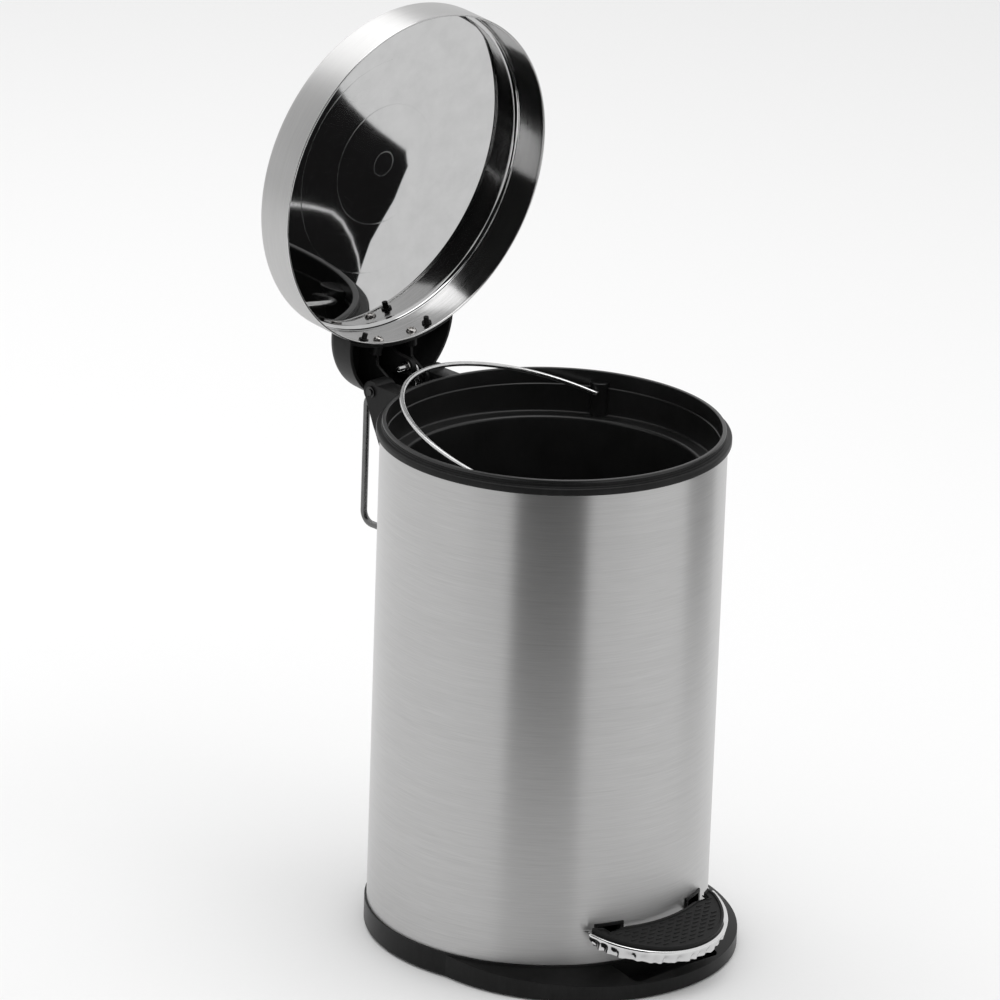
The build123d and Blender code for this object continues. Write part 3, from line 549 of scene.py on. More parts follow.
def round_angles(count: int) -> list[float]:
    """Evenly spaced angles of a full turn."""
    return [2 * math.pi * i / count for i in range(count)]


@dataclass
class Form:
    """Points in millimetres, and faces, of a mesh that is being made."""

    points: list[Vector] = field(default_factory=list)
    faces: list[tuple[int, ...]] = field(default_factory=list)

    def grid(
        self, rows: Sequence[Sequence[Vector]], close_rows: bool = False, close_ends: bool = False
    ) -> None:
        """Join rows of points with faces.

        Args:
            rows: Rows of equal length.
            close_rows: Whether each row joins its own start.
            close_ends: Whether the last row joins the first.
        """
        base = len(self.points)
        width = len(rows[0])
        for row in rows:
            self.points.extend(row)
        row_count = len(rows) if close_ends else len(rows) - 1
        column_count = width if close_rows else width - 1
        for i in range(row_count):
            here = base + i * width
            there = base + (i + 1) % len(rows) * width
            for j in range(column_count):
                k = (j + 1) % width
                self.faces.append((here + j, here + k, there + k, there + j))

    def cap(self, outline: Sequence[Vector]) -> None:
        """Close a flat outline with one face.

        Args:
            outline: Its points in order.
        """
        base = len(self.points)
        self.points.extend(outline)
        self.faces.append(tuple(range(base, base + len(outline))))

    def tube(self, rows: Sequence[Sequence[Vector]]) -> None:
        """Join closed rows and cap the first and the last.

        Args:
            rows: Rows of equal length.
        """
        self.grid(rows, close_rows=True)
        self.cap(rows[0])
        self.cap(rows[-1])

    def turn(self, outline: Sequence[Vector], closed: bool = True, turns: int = TURNS) -> None:
        """Turn an outline about Z.

        Args:
            outline: Points with the radius in X and the height in Z.
            closed: Whether the outline closes on itself.
            turns: Number of divisions of the turn.
        """
        rows = [[polar(point.x, a, point.z) for a in round_angles(turns)] for point in outline]
        self.grid(rows, close_rows=True, close_ends=closed)

    def prism(self, outline: Sequence[Vector], low: float, high: float) -> None:
        """Raise a flat outline into a closed block."""
        self.tube([[Vector((p.x, p.y, z)) for p in outline] for z in (low, high)])

    def wire(self, path: Sequence[Vector], radius: float, sides: int = 24, tip: float = 0.35) -> None:
        """Run a round wire along a path.

        Args:
            path: Points of its centre line.
            radius: The wire's radius.
            sides: Number of divisions round the wire.
            tip: How far each end is rounded, as a share of the radius.
        """
        first = (path[1] - path[0]).normalized()
        last = (path[-1] - path[-2]).normalized()
        side = first.orthogonal().normalized()
        stations = [(path[0], radius * (1 - tip)), (path[0] + first * radius * tip, radius)]
        stations += [(point, radius) for point in path[1:-1]]
        stations += [(path[-1] - last * radius * tip, radius), (path[-1], radius * (1 - tip))]
        rows = []
        for i, (point, size) in enumerate(stations):
            before = stations[max(i - 1, 0)][0]
            after = stations[min(i + 1, len(stations) - 1)][0]
            way = (after - before).normalized()
            side = (side - way * side.dot(way)).normalized()
            up = way.cross(side)
            angles = round_angles(sides)
            rows.append([point + (side * math.cos(a) + up * math.sin(a)) * size for a in angles])
        self.tube(rows)

    def moved(self, matrix: Matrix, start: int = 0) -> None:
        """Move the points from a start index on by a matrix."""
        self.points[start:] = [matrix @ point for point in self.points[start:]]

    def piece(self, name: str, sharp: float = SHARP) -> bpy.types.Object:
        """Make the object.

        Args:
            name: Its name.
            sharp: Angle above which an edge is drawn crisp.

        Returns:
            The new object, in metres, at the origin.
        """
        mesh = bpy.data.meshes.new(name)
        mesh.from_pydata([point * MM for point in self.points], [], self.faces)
        form = bmesh.new()
        form.from_mesh(mesh)
        bmesh.ops.remove_doubles(form, verts=form.verts, dist=WELD)
        loose = [v for v in form.verts if not v.link_faces]
        bmesh.ops.delete(form, geom=loose, context="VERTS")
        bmesh.ops.recalc_face_normals(form, faces=form.faces)
        form.to_mesh(mesh)
        form.free()
        return smooth_object(name, mesh, sharp)


def linked(name: str, data: bpy.types.ID) -> bpy.types.Object:
    """A new object in the scene.

    Args:
        name: Its name.
        data: Its mesh, light or camera.

    Returns:
        The object.
    """
    made = bpy.data.objects.new(name, data)
    bpy.context.scene.collection.objects.link(made)
    return made


def smooth_object(name: str, mesh: bpy.types.Mesh, sharp: float = SHARP) -> bpy.types.Object:
    """Link a mesh to the scene with smooth faces and crisp creases.

    Args:
        name: Name of the object.
        mesh: Its mesh.
        sharp: Angle above which an edge is drawn crisp.

    Returns:
        The new object.
    """
    mesh.polygons.foreach_set("use_smooth", [True] * len(mesh.polygons))
    mesh.set_sharp_from_angle(angle=sharp)
    return linked(name, mesh)


def ease_edges(made: bpy.types.Object, width: float, angle: float, segments: int) -> bpy.types.Modifier:
    """Bevel an object's edges.

    Args:
        made: The object.
        width: Width of the bevel in millimetres.
        angle: Angle above which an edge is bevelled.
        segments: Number of divisions across it.

    Returns:
        The modifier.
    """
    ease = made.modifiers.new("eased_edges", "BEVEL")
    ease.limit_method = "ANGLE"
    ease.angle_limit = angle
    ease.width = width * MM
    ease.segments = segments
    return ease


def eased_copy(node: str, name: str, width: float) -> bpy.types.Object:
    """A copy of a CAD node whose edges are eased as a moulding's are.

    Args:
        node: The CAD node.
        name: Name of the copy.
        width: Width of the eased edge in millimetres.

    Returns:
        The new object.
    """
    form = bmesh.new()
    form.from_mesh(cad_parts[node].data)
    bmesh.ops.remove_doubles(form, verts=form.verts, dist=WELD)
    bmesh.ops.dissolve_limit(form, angle_limit=math.radians(0.6), verts=form.verts, edges=form.edges)
    mesh = bpy.data.meshes.new(name)
    form.to_mesh(mesh)
    form.free()
    made = smooth_object(name, mesh)
    ease = ease_edges(made, width, SHARP, 2)
    ease.use_clamp_overlap = False
    ease.harden_normals = True
    return made


def fit(
    made: bpy.types.Object, body: Body, finish: Finish, stands_for: Sequence[str] = ()
) -> bpy.types.Object:
    """Dress a new piece and let it ride.

    Args:
        made: The piece, in place.
        body: The body it moves with.
        finish: Its finish.
        stands_for: CAD nodes that it replaces.

    Returns:
        The same piece.
    """
    if not made.data.materials:
        made.data.materials.append(finish.material())
    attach(made, body.value)
    if stands_for:
        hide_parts(*stands_for)
    LOG.info("%s rides on %s in %s", made.name, body.value, finish.name)
    return made


def dress(finish: Finish, *nodes: str) -> None:
    """Give CAD nodes whose shape stays a better material.

    Args:
        finish: The finish.
        nodes: Names of the nodes.
    """
    for node in nodes:
        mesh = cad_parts[node].data
        mesh.materials.clear()
        mesh.materials.append(finish.material())
        LOG.info("%s keeps its shape in %s", node, finish.name)


# Sub-assemblies -----------------------------------------------------------------------


@dataclass(frozen=True)
class Barrel:
    """Steel barrel with the black ring round its mouth."""

    ring_r: float = 127.8
    ring_z: float = 378.5
    ledge_h: float = 5.2
    step_r: float = 123.9
    step_h: float = 2.6
    bore_r: float = 122.4
    sheet_r: float = 125.0
    skirt_r: float = 124.1
    skirt_h: float = 6.5

    def ring_profile(self) -> list[Vector]:
        """Cross-section of the ring.

        Returns:
            Points with the radius in X and the height in Z.
        """
        ledge = self.ring_z + self.ledge_h
        top = ledge + self.step_h
        foot = self.ring_z - self.skirt_h
        seat = self.sheet_r + 0.1
        corners = [
            (self.ring_r - 0.5, self.ring_z, 0.3),
            (self.ring_r, self.ring_z + 0.7, 0.4),
            (self.ring_r, ledge, 1.5),
            (self.step_r + 0.5, ledge, 0.3),
            (self.step_r, ledge + 0.5, 0.2),
            (self.step_r, top, 0.6),
            (self.bore_r, top, 0.7),
            (self.bore_r, foot, 0.2),
            (self.skirt_r, foot, 0.2),
            (self.skirt_r, self.ring_z + 0.4, 0.0),
            (seat, self.ring_z + 0.4, 0.0),
            (seat, self.ring_z, 0.0),
        ]
        return profile(corners)

    def build(self) -> None:
        """Ring moulding, and the steel that stays as it is."""
        form = Form()
        form.turn(self.ring_profile())
        fit(form.piece("rim_ring_moulding"), Body.HOUSING, BLACK_PLASTIC, ["rim_ring"])
        dress(BARREL_STEEL, "shell")
        dress(BLACK_PLASTIC, "slot_bezels")


@dataclass(frozen=True)
class Base:
    """Black base with its rubber ring and screws."""

    def build(self) -> None:
        """Dress the base and what is fixed to it."""
        dress(BASE_PLASTIC, "base")
        dress(RUBBER, "foot_ring")
        dress(ZINC, "base_screws", "lever_axle", "axle_clips")


@dataclass(frozen=True)
class Bucket:
    """Lift-out plastic bucket with the ears that carry its bail."""

    wall: float = 1.4
    mouth_r: float = 120.6
    rim_r: float = 123.6
    top: float = 388.6
    rim_t: float = 2.2
    bead_h: float = 11.6
    bead_step: float = 0.7
    ledge_z: float = 355.6
    body_r: float = 108.5
    floor_r: float = 100.0
    floor_z: float = 60.0
    ear_r: float = 7.0
    ear_proud: float = 6.3
    ear_top: float = 380.9
    ear_angle: float = 29.9
    ear_edge: float = 1.3

    def bucket_profile(self) -> list[Vector]:
        """Cross-section of the bucket, inside then outside.

        Returns:
            Points with the radius in X and the height in Z.
        """
        bead = self.top - self.bead_h
        neck = self.mouth_r - self.bead_step
        floor_out = self.floor_z - self.wall
        shoulder_out = self.ledge_z - self.wall
        corners = [
            (0.0, self.floor_z, 0.0),
            (self.floor_r, self.floor_z, 7.0),
            (self.body_r, self.ledge_z, 2.6),
            (neck, self.ledge_z, 1.6),
            (neck, bead - self.bead_step, 0.4),
            (self.mouth_r, bead, 0.4),
            (self.mouth_r, self.top, 0.9),
            (self.rim_r, self.top, 0.9),
            (self.rim_r, self.top - self.rim_t, 0.3),
            (self.mouth_r + self.wall, self.top - self.rim_t, 0.2),
            (self.mouth_r + self.wall, shoulder_out, 1.2),
            (self.body_r + self.wall, shoulder_out, 1.0),
            (self.floor_r + self.wall, floor_out, 7.5),
            (0.0, floor_out, 0.0),
        ]
        return profile(corners, closed=False, steps=6)

    def ear_outline(self) -> list[Vector]:
        """Plan of one ear at angle 0, ending inside the bucket's wall.

        Returns:
            Its outline.
        """
        centre = self.mouth_r - self.ear_proud + self.ear_r
        wall = self.mouth_r + 0.5
        reach = math.acos((wall**2 + centre**2 - self.ear_r**2) / (2 * wall * centre))
        meet = math.atan2(wall * math.sin(reach), wall * math.cos(reach) - centre)
        turn = 2 * math.pi - 2 * meet
        round_part = [meet + turn * i / 28 for i in range(29)]
        bow = [Vector((centre, 0, 0)) + polar(self.ear_r, a) for a in round_part]
        back = [-reach + 2 * reach * i / 6 for i in range(1, 6)]
        return bow + [polar(wall, a) for a in back]

    def build(self) -> None:
        """Bucket and ears."""
        form = Form()
        form.turn(self.bucket_profile(), closed=False)
        fit(form.piece("bucket_liner"), Body.HOUSING, BUCKET_PLASTIC, ["bucket"])
        ears = Form()
        for angle in (self.ear_angle, self.ear_angle + 180):
            start = len(ears.points)
            ears.prism(self.ear_outline(), self.ledge_z - 0.5, self.ear_top)
            ears.moved(Matrix.Rotation(math.radians(angle), 4, "Z"), start)
        made = ears.piece("bucket_ears")
        ease_edges(made, self.ear_edge, math.radians(50), 4)
        fit(made, Body.HOUSING, BUCKET_PLASTIC)


@dataclass(frozen=True)
class Bail:
    """Wire bail that lifts the bucket out."""

    wire_d: float = 3.5
    bow_r: float = 111.5
    rise: float = 114.2
    tip_r: float = 120.0
    bend: float = 2.6
    tilt: float = 16.5
    ear_angle: float = 29.9
    ear_z: float = 374.4

    def bow(self) -> list[Vector]:
        """Centre line in the bail's own plane, with X along its pivots and Y out.

        Returns:
            Points from one tip to the other.
        """
        half = self.bow_r
        height = self.rise - self.bend
        radius = (half**2 + height**2) / (2 * height)
        centre = self.rise - radius
        reach = math.asin(min(1.0, half / radius))
        if height > half:
            reach = math.pi - reach
        sweep = [reach - 2 * reach * i / 120 for i in range(121)]
        arc = [Vector((radius * math.sin(a), centre + radius * math.cos(a), 0)) for a in sweep]
        tip = Vector((self.tip_r, 0, 0))
        ends = softened([(tip, 0), (Vector((half, 0, 0)), self.bend), (arc[0], 0)])
        near = [p for p in ends[:-1] if p.x >= half]
        mirrored = [Vector((-p.x, p.y, 0)) for p in reversed(ends)]
        return near + arc + mirrored[1:]

    def build(self) -> None:
        """The bail, leaning back as it rests."""
        form = Form()
        form.wire(self.bow(), self.wire_d / 2)
        lean = Matrix.Rotation(math.radians(self.tilt), 4, "X")
        swing = Matrix.Rotation(math.radians(self.ear_angle), 4, "Z")
        form.moved(Matrix.Translation((0, 0, self.ear_z)) @ swing @ lean)
        fit(form.piece("bail_wire"), Body.BAIL, BRIGHT_WIRE, ["bail_handle"])


@dataclass(frozen=True)
class Lid:
    """Pressed steel lid with its screws."""

    radius: float = 126.6
    sheet: float = 0.8
    skirt: float = 31.0
    corner: float = 5.0
    rise: float = 7.0
    hem_t: float = 1.6
    hem_h: float = 2.2
    rim_z: float = 384.2
    hinge_y: float = 156.5
    hinge_z: float = 376.2
    opening: float = 84.5
    screw_angle: float = 7.5
    fix_z: float = 7.8
    head_r: float = 4.0
    head_h: float = 2.4
    shank_r: float = 1.9
    shank_l: float = 8.0
    recess_w: float = 0.42
    recess_slope: float = 0.22
    recess_r: float = 1.9
    recess_end: float = 0.5
    recess_depth: float = 1.2

    def swung(self) -> Matrix:
        """From the closed lid's place to the open lid's, in metres.

        Returns:
            The turn about the hinge.
        """
        hinge = Vector((0, self.hinge_y, self.hinge_z)) * MM
        turn = Matrix.Rotation(-math.radians(self.opening), 4, "X")
        return Matrix.Translation(hinge) @ turn @ Matrix.Translation(-hinge)

    def crown(self, inset: float, pieces: int = 48) -> list[Vector]:
        """The dome's arc from its shoulder to the middle.

        Args:
            inset: Depth below the outer face.
            pieces: Number of divisions.

        Returns:
            Points with the radius in X and the height in Z.
        """
        flat = self.radius - self.corner
        ball = (flat**2 + self.rise**2) / (2 * self.rise)
        middle = self.rim_z + self.skirt + self.rise
        made = []
        for i in range(pieces + 1):
            r = flat * (1 - i / pieces)
            made.append(Vector((r, 0, middle - ball + math.sqrt((ball - inset) ** 2 - r**2))))
        return made

    def lid_profile(self) -> list[Vector]:
        """Cross-section from the middle of the outside to the middle of the inside.

        Returns:
            Points with the radius in X and the height in Z.
        """
        shoulder = self.rim_z + self.skirt
        inner = self.radius - self.sheet
        hem = self.radius - self.hem_t
        hem_top = self.rim_z + self.hem_h
        outside = self.crown(0)[::-1]
        inside = self.crown(self.sheet)
        corners = [
            (outside[-1].x, outside[-1].z, 0.0),
            (self.radius, shoulder, self.corner - 0.4),
            (self.radius, self.rim_z, 0.7),
            (hem, self.rim_z, 0.7),
            (hem, hem_top, 0.35),
            (inner, hem_top + 0.2, 0.0),
            (inner, shoulder - self.sheet, self.corner - 1.0),
            (inside[0].x, inside[0].z, 0.0),
        ]
        return outside[:-1] + profile(corners, closed=False, steps=8) + inside[1:]

    def build_shell(self) -> None:
        """Lid pressing with brushed outside and wall, and a polished dome inside."""
        form = Form()
        form.turn(self.lid_profile(), closed=False)
        made = form.piece("lid_pressing", math.radians(50))
        for finish in (LID_STEEL, LID_WALL, LID_MIRROR):
            made.data.materials.append(finish.material())
        inner_wall = (self.radius - self.sheet * 0.5) * MM
        wall_top = (self.rim_z + self.skirt - self.corner) * MM
        for face in made.data.polygons:
            centre = face.center
            radius = math.hypot(centre.x, centre.y)
            inward = face.normal.x * centre.x + face.normal.y * centre.y < -1e-9 or face.normal.z < -0.02
            if inward and radius < inner_wall:
                face.material_index = 2 if centre.z > wall_top else 1
            elif inward:
                face.material_index = 2
        made.matrix_world = self.swung()
        fit(made, Body.LID, LID_STEEL, ["lid_shell"])

    def recess(self, r: float, angle: float) -> float:
        """Depth of the cross recess at a radius and an angle.

        Args:
            r: Distance from the head's middle.
            angle: Angle round it.

        Returns:
            The depth below the dome.
        """
        arm = min(abs(r * math.cos(angle)), abs(r * math.sin(angle)))
        across = max(0.0, 1 - max(arm - self.recess_w, 0) / self.recess_slope)
        along = max(0.0, 1 - max(r - self.recess_r, 0) / self.recess_end)
        return self.recess_depth * across * along

    def pan_head(self) -> Form:
        """A pan head with a cross recess, about Z, with its seat at 0.

        Returns:
            The head.
        """
        form = Form()
        rows = []
        for i in range(19):
            share = i / 18
            r = self.head_r * share
            dome = self.head_h * (1 - 0.30 * share**2 - 0.70 * share**8)
            rows.append([polar(r, a, dome - self.recess(r, a)) for a in round_angles(72)])
        rows.append([Vector((p.x, p.y, 0)) for p in rows[-1]])
        form.grid(rows, close_rows=True)
        form.cap(rows[-1])
        return form

    def build_screws(self) -> None:
        """Two pan-head screws through the skirt."""
        form = Form()
        seat = self.radius - self.sheet - 0.2
        for side in (-1, 1):
            start = len(form.points)
            head = self.pan_head()
            head.prism([polar(self.shank_r, a) for a in round_angles(24)], -self.shank_l, 0.2)
            form.faces += [tuple(i + start for i in face) for face in head.faces]
            form.points += head.points
            way = math.radians(90 + side * self.screw_angle)
            place = polar(seat, way, self.rim_z + self.fix_z)
            turn = polar(-1.0, way).to_track_quat("Z", "Y").to_matrix().to_4x4()
            form.moved(Matrix.Translation(place) @ turn, start)
        made = form.piece("lid_pan_screws")
        made.matrix_world = self.swung()
        fit(made, Body.LID, ZINC, ["lid_screws"])

    def build(self) -> None:
        """Shell and screws."""
        self.build_shell()
        self.build_screws()
        dress(BLACK_PLASTIC, "peg_washers")


@dataclass(frozen=True)
class Hinge:
    """Hinge mount, lid bracket and their pins."""

    edge_width: float = 0.45

    def build(self) -> None:
        """Mouldings with eased edges; the pins keep their shape."""
        for node, body in (("hinge_mount", Body.HOUSING), ("lid_bracket", Body.LID)):
            made = eased_copy(node, f"{node}_moulding", self.edge_width)
            fit(made, body, BLACK_PLASTIC, [node])
        dress(BLACKED_PIN, "hinge_pins", "hinge_pin_clips")
        dress(ZINC, "hinge_mount_screws", "hinge_backing_plate")


@dataclass(frozen=True)
class Rods:
    """Push rod at the back and the wire handle outside it."""

    rod_d: float = 4.5
    rod_bend: float = 4.0
    rod_x: float = 9.0
    hook_x: float = -9.0
    foot_l: float = 12.5
    foot: tuple[float, float] = (113.0, 31.7)
    head: tuple[float, float] = (156.287, 388.398)
    waist: tuple[float, float] = (120.3, 280.0)
    neck: tuple[float, float] = (150.5, 365.0)
    handle_d: float = 5.0
    handle_bend: float = 9.0
    handle_y: float = 197.0
    handle_low: float = 257.0
    handle_high: float = 357.0
    handle_ends: tuple[float, float] = (121.0, 147.5)

    def rod_line(self) -> list[Vector]:
        """Centre line of the push rod from its hook to its foot.

        Returns:
            Its points.
        """
        run = [self.head, self.neck, self.waist, self.foot]
        corners = [Vector((self.hook_x, *self.head))] + [Vector((self.rod_x, *point)) for point in run]
        corners.append(Vector((self.rod_x - self.foot_l, *self.foot)))
        return softened([(corner, self.rod_bend) for corner in corners], steps=10)

    def handle_line(self) -> list[Vector]:
        """Centre line of the handle from its lower end to its upper one.

        Returns:
            Its points.
        """
        low_end, high_end = self.handle_ends
        low, high = self.handle_low, self.handle_high
        run = [(low_end, low), (self.handle_y, low), (self.handle_y, high), (high_end, high)]
        return softened([(Vector((0, *point)), self.handle_bend) for point in run], steps=12)

    def build(self) -> None:
        """Both wires, and the small clips on them."""
        rod = Form()
        rod.wire(self.rod_line(), self.rod_d / 2)
        fit(rod.piece("push_rod_wire"), Body.ROD, BRIGHT_WIRE, ["push_rod"])
        handle = Form()
        handle.wire(self.handle_line(), self.handle_d / 2)
        fit(handle.piece("carry_handle_wire"), Body.HOUSING, DARK_WIRE, ["rear_handle"])
        dress(ZINC, "rod_clips", "handle_push_nuts")


@dataclass(frozen=True)
class Pedal:
    """Plated pedal with its rubber tread."""

    front_r: float = 64.8
    reach: float = 55.0
    half_w: float = 63.5
    tip_y: float = -116.0
    tip_z: float = 47.5
    tilt: float = 12.0
    rear_r: float = 129.5
    sheet: float = 1.2
    skirt: float = 9.5
    notch_x: float = 42.5
    notch_w: float = 17.0
    notch_depth: float = 4.0
    crimp: float = 2.2
    pad_inset: float = 3.6
    pad_end: float = 5.0
    pad_gap: float = 0.7
    pad_base: float = 1.6
    pad_border: float = 1.0
    border_w: float = 2.4
    dash: tuple[float, float, float] = (5.8, 1.4, 0.6)
    dash_pitch: tuple[float, float] = (9.0, 3.7)
    dash_margin: float = 1.4

    def placed(self) -> Matrix:
        """From the level drawing at the tips to the pedal's place, in millimetres."""
        turn = Matrix.Rotation(math.radians(self.tilt), 4, "X")
        return Matrix.Translation((0, self.tip_y, self.tip_z)) @ turn

    def rear(self, x: float, gap: float = 0.0) -> float:
        """Y of the rear edge at an x, in the level drawing.

        Args:
            x: Distance from the middle.
            gap: How far in front of the edge.

        Returns:
            The y.
        """
        squeeze = 1 / math.cos(math.radians(self.tilt))
        round_r = self.rear_r + gap
        y = -self.tip_y * squeeze - squeeze * math.sqrt(round_r**2 - x**2)
        if abs(abs(x) - self.notch_x) < self.notch_w / 2:
            middle = math.sqrt(self.rear_r**2 - self.notch_x**2)
            y = min(y, -(middle + self.tip_y) - self.notch_depth)
        return y

    def front(self, angle: float, inset: float = 0.0) -> Vector:
        """Point of the round front; angle 0 is its middle.

        Args:
            angle: Angle round the front.
            inset: Distance inside the edge.

        Returns:
            The point.
        """
        r = self.front_r - inset
        centre = self.front_r - self.reach
        return Vector((r * math.sin(angle), centre - r * math.cos(angle), 0))

    def columns(self) -> list[float]:
        """Angles of the plate's columns from tip to tip, with the notches' corners among them.

        Returns:
            The angles in order.
        """
        last = math.asin(self.half_w / self.front_r)
        angles = [last * (2 * i / 240 - 1) for i in range(241)]
        for side in (-1, 1):
            for edge in (-1, 1):
                for nudge in (-0.01, 0.01):
                    x = side * self.notch_x + edge * self.notch_w / 2 + nudge
                    angles.append(math.asin(x / self.front_r))
        return sorted(angles)

    def crease(self, angle: float) -> float:
        """How far the skirt's crimping folds in at an angle, from 0 to 1.

        Args:
            angle: Angle round the front.

        Returns:
            Share of the deepest fold.
        """
        arc = self.front_r * angle
        folds = math.sin(arc / 1.55 + 1.3 * math.sin(arc / 6.1)) * 0.6
        folds += math.sin(arc / 0.93 + 2.0) * 0.25 + math.sin(arc / 4.3 + 0.7) * 0.35
        return max(0.0, min(1.0, 0.45 + folds * 0.55))

    def drop(self, y: float) -> float:
        """Depth of the skirt where its front edge has this y."""
        slope = (self.skirt + 2) / 16.0
        return max(self.sheet + 0.8, min(self.skirt, (4.0 - y) * slope - 1.0))

    def section(self, angle: float) -> list[Vector]:
        """Closed cross-section of plate and skirt at an angle.

        Args:
            angle: Angle round the front.

        Returns:
            Its points.
        """
        edge = self.front(angle)
        out = Vector((math.sin(angle), -math.cos(angle), 0))
        depth = self.drop(edge.y)
        fold = self.crease(angle) * self.crimp
        rear_y = self.rear(edge.x)
        flat = edge - out * 4.0
        flat.y = min(flat.y, rear_y - 0.3)
        rim = [(-2.6, 0.0), (-1.9, 0.35), (-1.0, 0.30), (-0.35, -0.15), (-0.05, -0.9), (0.0, -1.8)]
        made = [Vector((edge.x, rear_y, 0)), Vector((flat.x, flat.y, 0))]
        made += [edge + out * s + Vector((0, 0, w)) for s, w in rim]
        top = rim[-1][1]
        levels = 7
        outer = [(i / levels, 0.0) for i in range(1, levels + 1)]
        inner = [(i / levels, self.sheet * 0.8) for i in range(levels, -1, -1)]
        for share, thick in outer + inner:
            w = top - (depth + top) * share
            in_by = fold * min(1.0, share * 1.6) + 0.5 * share + thick
            made.append(edge - out * in_by + Vector((0, 0, w)))
        made.append(Vector((flat.x, flat.y, -self.sheet)))
        made.append(Vector((edge.x, rear_y, -self.sheet)))
        return made

    def build_plate(self) -> None:
        """Plated pressing."""
        form = Form()
        rows = [self.section(angle) for angle in self.columns()]
        form.tube(rows)
        form.moved(self.placed())
        fit(form.piece("pedal_pressing", math.radians(48)), Body.PEDAL, PEDAL_CHROME, ["pedal_plate"])

    def pad_edge(self, inset: float, count: int = 90) -> list[Vector]:
        """Outline of the pad, moved inwards by an inset.

        Args:
            inset: Distance inside the edge.
            count: Divisions of each side.

        Returns:
            Its points.
        """
        half = self.half_w - self.pad_end - inset
        r_in = self.pad_inset + inset
        last = math.asin(half / (self.front_r - r_in))
        bow = [self.front(last * (2 * i / count - 1), r_in) for i in range(count + 1)]
        xs = [half - 2 * half * i / count for i in range(count + 1)]
        back = [Vector((x, self.rear(x, self.pad_gap + inset), 0)) for x in xs]
        return bow + back

    def inside_pad(self, x: float, y: float, inset: float) -> bool:
        """Whether a level point is on the pad, clear of its edge.

        Args:
            x: Distance from the middle.
            y: Distance from the tips.
            inset: Clearance from the edge.

        Returns:
            True when it is on the pad.
        """
        centre = self.front_r - self.reach
        if math.hypot(x, y - centre) > self.front_r - self.pad_inset - inset:
            return False
        return abs(x) < self.half_w - self.pad_end - inset and y < self.rear(x, self.pad_gap + inset)

    def build_pad(self) -> None:
        """Rubber tread with its raised border and rows of dashes."""
        form = Form()
        outer = self.pad_edge(0.0)
        eased = self.pad_edge(0.5)
        crest = self.pad_edge(self.border_w - 0.4)
        inner = self.pad_edge(self.border_w)
        top = self.pad_base + self.pad_border
        levels = [(outer, 0.02), (outer, top - 0.5), (eased, top), (crest, top), (inner, self.pad_base)]
        rows = [[Vector((p.x, p.y, z)) for p in line] for line, z in levels]
        form.tube(rows)
        self.add_dashes(form)
        form.moved(self.placed())
        fit(form.piece("pedal_tread"), Body.PEDAL, RUBBER, ["pedal_pad"])

    def add_dashes(self, form: Form) -> None:
        """Staggered rows of small raised dashes.

        Args:
            form: The pad's form, which they are added to.
        """
        length = self.dash[0]
        step_x, step_y = self.dash_pitch
        for row in range(-16, 3):
            for column in range(-9, 10):
                x = (column + 0.5 * (row % 2)) * step_x
                y = row * step_y
                ends = [(x - length / 2, y), (x + length / 2, y)]
                if all(self.inside_pad(*end, self.border_w + self.dash_margin) for end in ends):
                    self.add_dash(form, x, y)

    def add_dash(self, form: Form, x: float, y: float) -> None:
        """One dash with sloping sides.

        Args:
            form: The pad's form.
            x: X of its middle.
            y: Y of its middle.
        """
        length, width, height = self.dash
        rows = []
        for grow, rise in ((1.0, -0.1), (0.86, height * 0.8), (0.6, height)):
            a, b = length / 2 - (1 - grow) * width, width / 2 * grow
            half = [(a, -b / 2), (a, b / 2), (a - b, b), (b - a, b)]
            ring = half + [(-p, -q) for p, q in half]
            rows.append([Vector((x + p, y + q, self.pad_base + rise)) for p, q in ring])
        form.tube(rows)

    def build(self) -> None:
        """Plate and tread, and the lever that stays as it is."""
        self.build_plate()
        self.build_pad()
        dress(LEVER_STEEL, "pedal_lever")
        dress(ZINC, "pedal_rivets")
        dress(BLACK_PLASTIC, "lever_bushes")


# Studio -------------------------------------------------------------------------------


@dataclass(frozen=True)
class Softbox:
    """A large soft light aimed at the can."""

    name: str
    place: tuple[float, float, float]
    size: tuple[float, float]
    watts: float
    aim: tuple[float, float, float] = (0.0, 0.03, 0.30)

    def build(self) -> None:
        """Make the light."""
        lamp = bpy.data.lights.new(self.name, "AREA")
        lamp.shape = "RECTANGLE"
        lamp.size, lamp.size_y = self.size
        lamp.energy = self.watts
        made = linked(self.name, lamp)
        made.location = self.place
        way = Vector(self.aim) - Vector(self.place)
        made.rotation_euler = way.to_track_quat("-Z", "Y").to_euler()


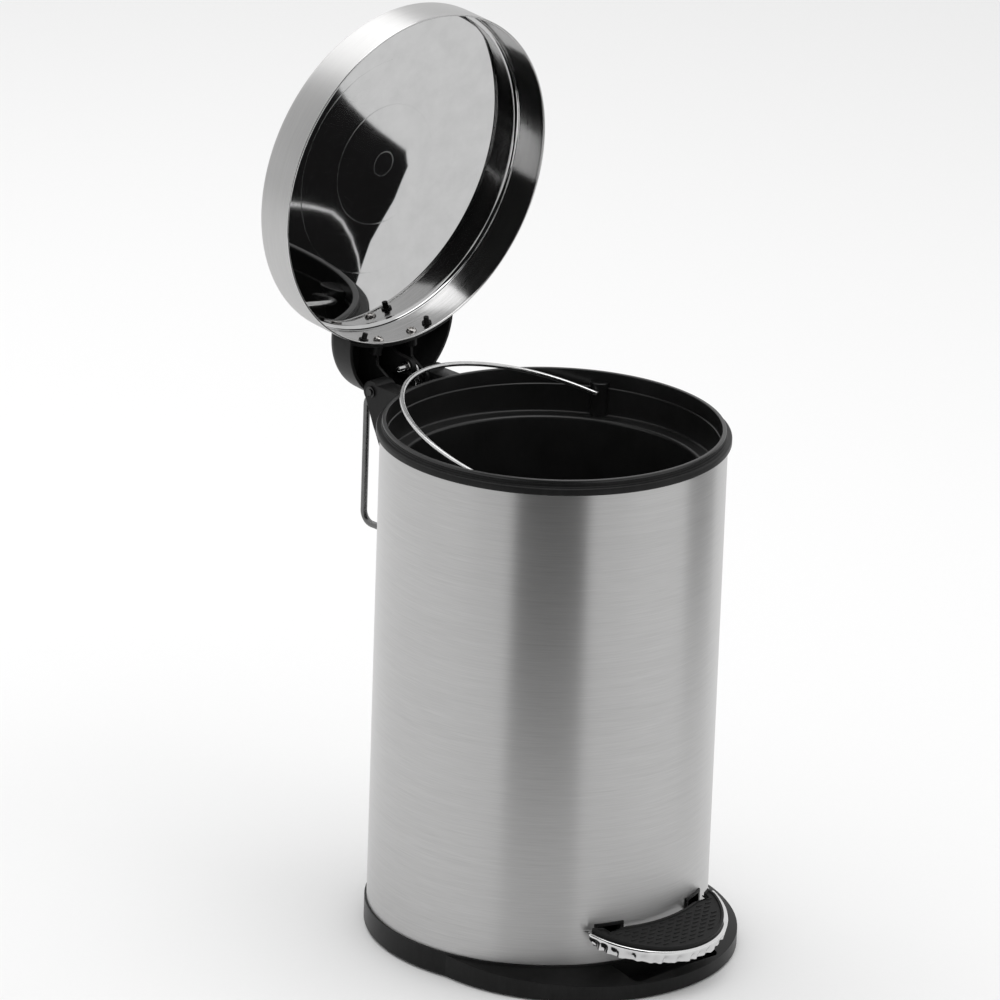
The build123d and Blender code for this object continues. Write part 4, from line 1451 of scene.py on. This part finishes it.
@dataclass(frozen=True)
class Studio:
    """Pale floor, soft surroundings, lights and the camera."""

    eye: tuple[float, float, float] = (-3.5855, -3.6245, 2.1723)
    ahead: tuple[float, float, float] = (0.65644, 0.67331, -0.34017)
    across: tuple[float, float, float] = (0.71602, -0.69807, 0.0)
    roll: float = 0.0348
    lens: float = 271.3
    sensor: float = 36.0
    surround: float = 0.85
    floor_r: float = 14.0
    flags: tuple[tuple[str, float, float, float, float], ...] = (
        ("near_flag", 0.62, 0.50, 0.004, 0.42),
        ("upper_flag", 0.64, 1.30, 0.43, 1.5),
        ("high_flag", 1.60, 4.20, 0.85, 3.4),
    )
    card_z: float = 0.0008
    floor_card: tuple[tuple[float, float], ...] = (
        (0.845, -0.38), (0.83, -0.48), (0.808, -0.62), (0.811, -0.642), (0.83, -0.662), (0.86, -0.674),
        (0.90, -0.712), (1.27, -1.02), (2.4, -1.95), (2.6, -0.3), (1.2, -0.1),
    )
    bright_line: tuple[tuple[float, float], ...] = (
        (0.871, -0.474), (0.863, -0.534), (0.859, -0.567), (0.859, -0.597), (0.863, -0.633), (0.871, -0.668),
        (0.881, -0.696), (0.890, -0.709), (0.901, -0.716),
    )
    line_w: float = 0.0016

    def build_camera(self) -> None:
        """Camera at the eye, rolled slightly."""
        ahead = Vector(self.ahead).normalized()
        level = Vector(self.across).normalized()
        upright = level.cross(ahead)
        right = level * math.cos(self.roll) + upright * math.sin(self.roll)
        up = right.cross(ahead)
        turn = Matrix((right, up, -ahead)).transposed().to_4x4()
        lens = bpy.data.cameras.new("camera")
        lens.lens = self.lens
        lens.sensor_width = self.sensor
        lens.clip_end = 100.0
        made = linked("camera", lens)
        made.matrix_world = Matrix.Translation(self.eye) @ turn
        bpy.context.scene.camera = made

    def build_floor(self) -> None:
        """Round pale floor just under the can."""
        form = Form()
        reach = self.floor_r / MM
        rings = [0.0, 400.0, 2000.0, reach]
        form.turn([Vector((r, 0, -0.05)) for r in rings], closed=False, turns=96)
        made = form.piece("floor")
        made.data.materials.append(FLOOR_PAPER.material())

    def build_cards(self) -> None:
        """Cards that only the metal sees: flags on the camera's side, one on the floor and a bright line."""
        toward = Vector((-self.ahead[0], -self.ahead[1], 0)).normalized()
        side = Vector(self.across).normalized()
        up = Vector((0, 0, 1))
        for name, distance, width, low, high in self.flags:
            middle = toward * distance
            ends = [middle + side * width * s / 2 for s in (-1, 1)]
            lower = [end + up * low for end in ends]
            self.build_card(name, lower + [end + up * high for end in reversed(ends)])
        self.build_card("floor_card", [Vector((x, y, self.card_z)) for x, y in self.floor_card])
        near = [Vector((x, y, 2 * self.card_z)) for x, y in self.bright_line]
        far = [corner + Vector((self.line_w, 0, 0)) for corner in near]
        self.build_card("bright_line", near + far[::-1], FLOOR_PAPER)

    def build_card(self, name: str, corners: Sequence[Vector], finish: Finish = FLAG_CARD) -> None:
        """One flat card that only shows in reflections.

        Args:
            name: Its name.
            corners: Its corners in metres.
            finish: Its finish.
        """
        form = Form()
        form.cap([corner / MM for corner in corners])
        made = form.piece(name)
        made.data.materials.append(finish.material())
        for ray in ("camera", "diffuse", "shadow"):
            setattr(made, f"visible_{ray}", False)

    def build_world(self) -> None:
        """Even pale surroundings."""
        world = bpy.data.worlds.new("surround")
        bpy.context.scene.world = world
        graph = Graph(world)
        light = graph.node("ShaderNodeBackground", inputs={"Color": grey(1.0), "Strength": self.surround})
        graph.node_end("ShaderNodeOutputWorld", light)

    def build(self) -> None:
        """Everything round the can."""
        bpy.context.scene.view_settings.view_transform = "Standard"
        self.build_camera()
        self.build_floor()
        self.build_cards()
        self.build_world()
        for box in (
            Softbox("back_softbox", (0.25, 1.5, 2.3), (2.0, 2.0), 16.0),
            Softbox("top_softbox", (0.2, -0.4, 2.4), (1.4, 1.4), 12.0),
        ):
            box.build()


def main() -> None:
    """Build the studio and every sub-assembly in order."""
    logging.basicConfig(level=logging.INFO, format="%(name)s: %(message)s")
    Studio().build()
    for part in (Barrel(), Base(), Bucket(), Bail(), Lid(), Hinge(), Rods(), Pedal()):
        part.build()
        LOG.info("%s done", type(part).__name__)


if __name__ == "__main__":
    main()
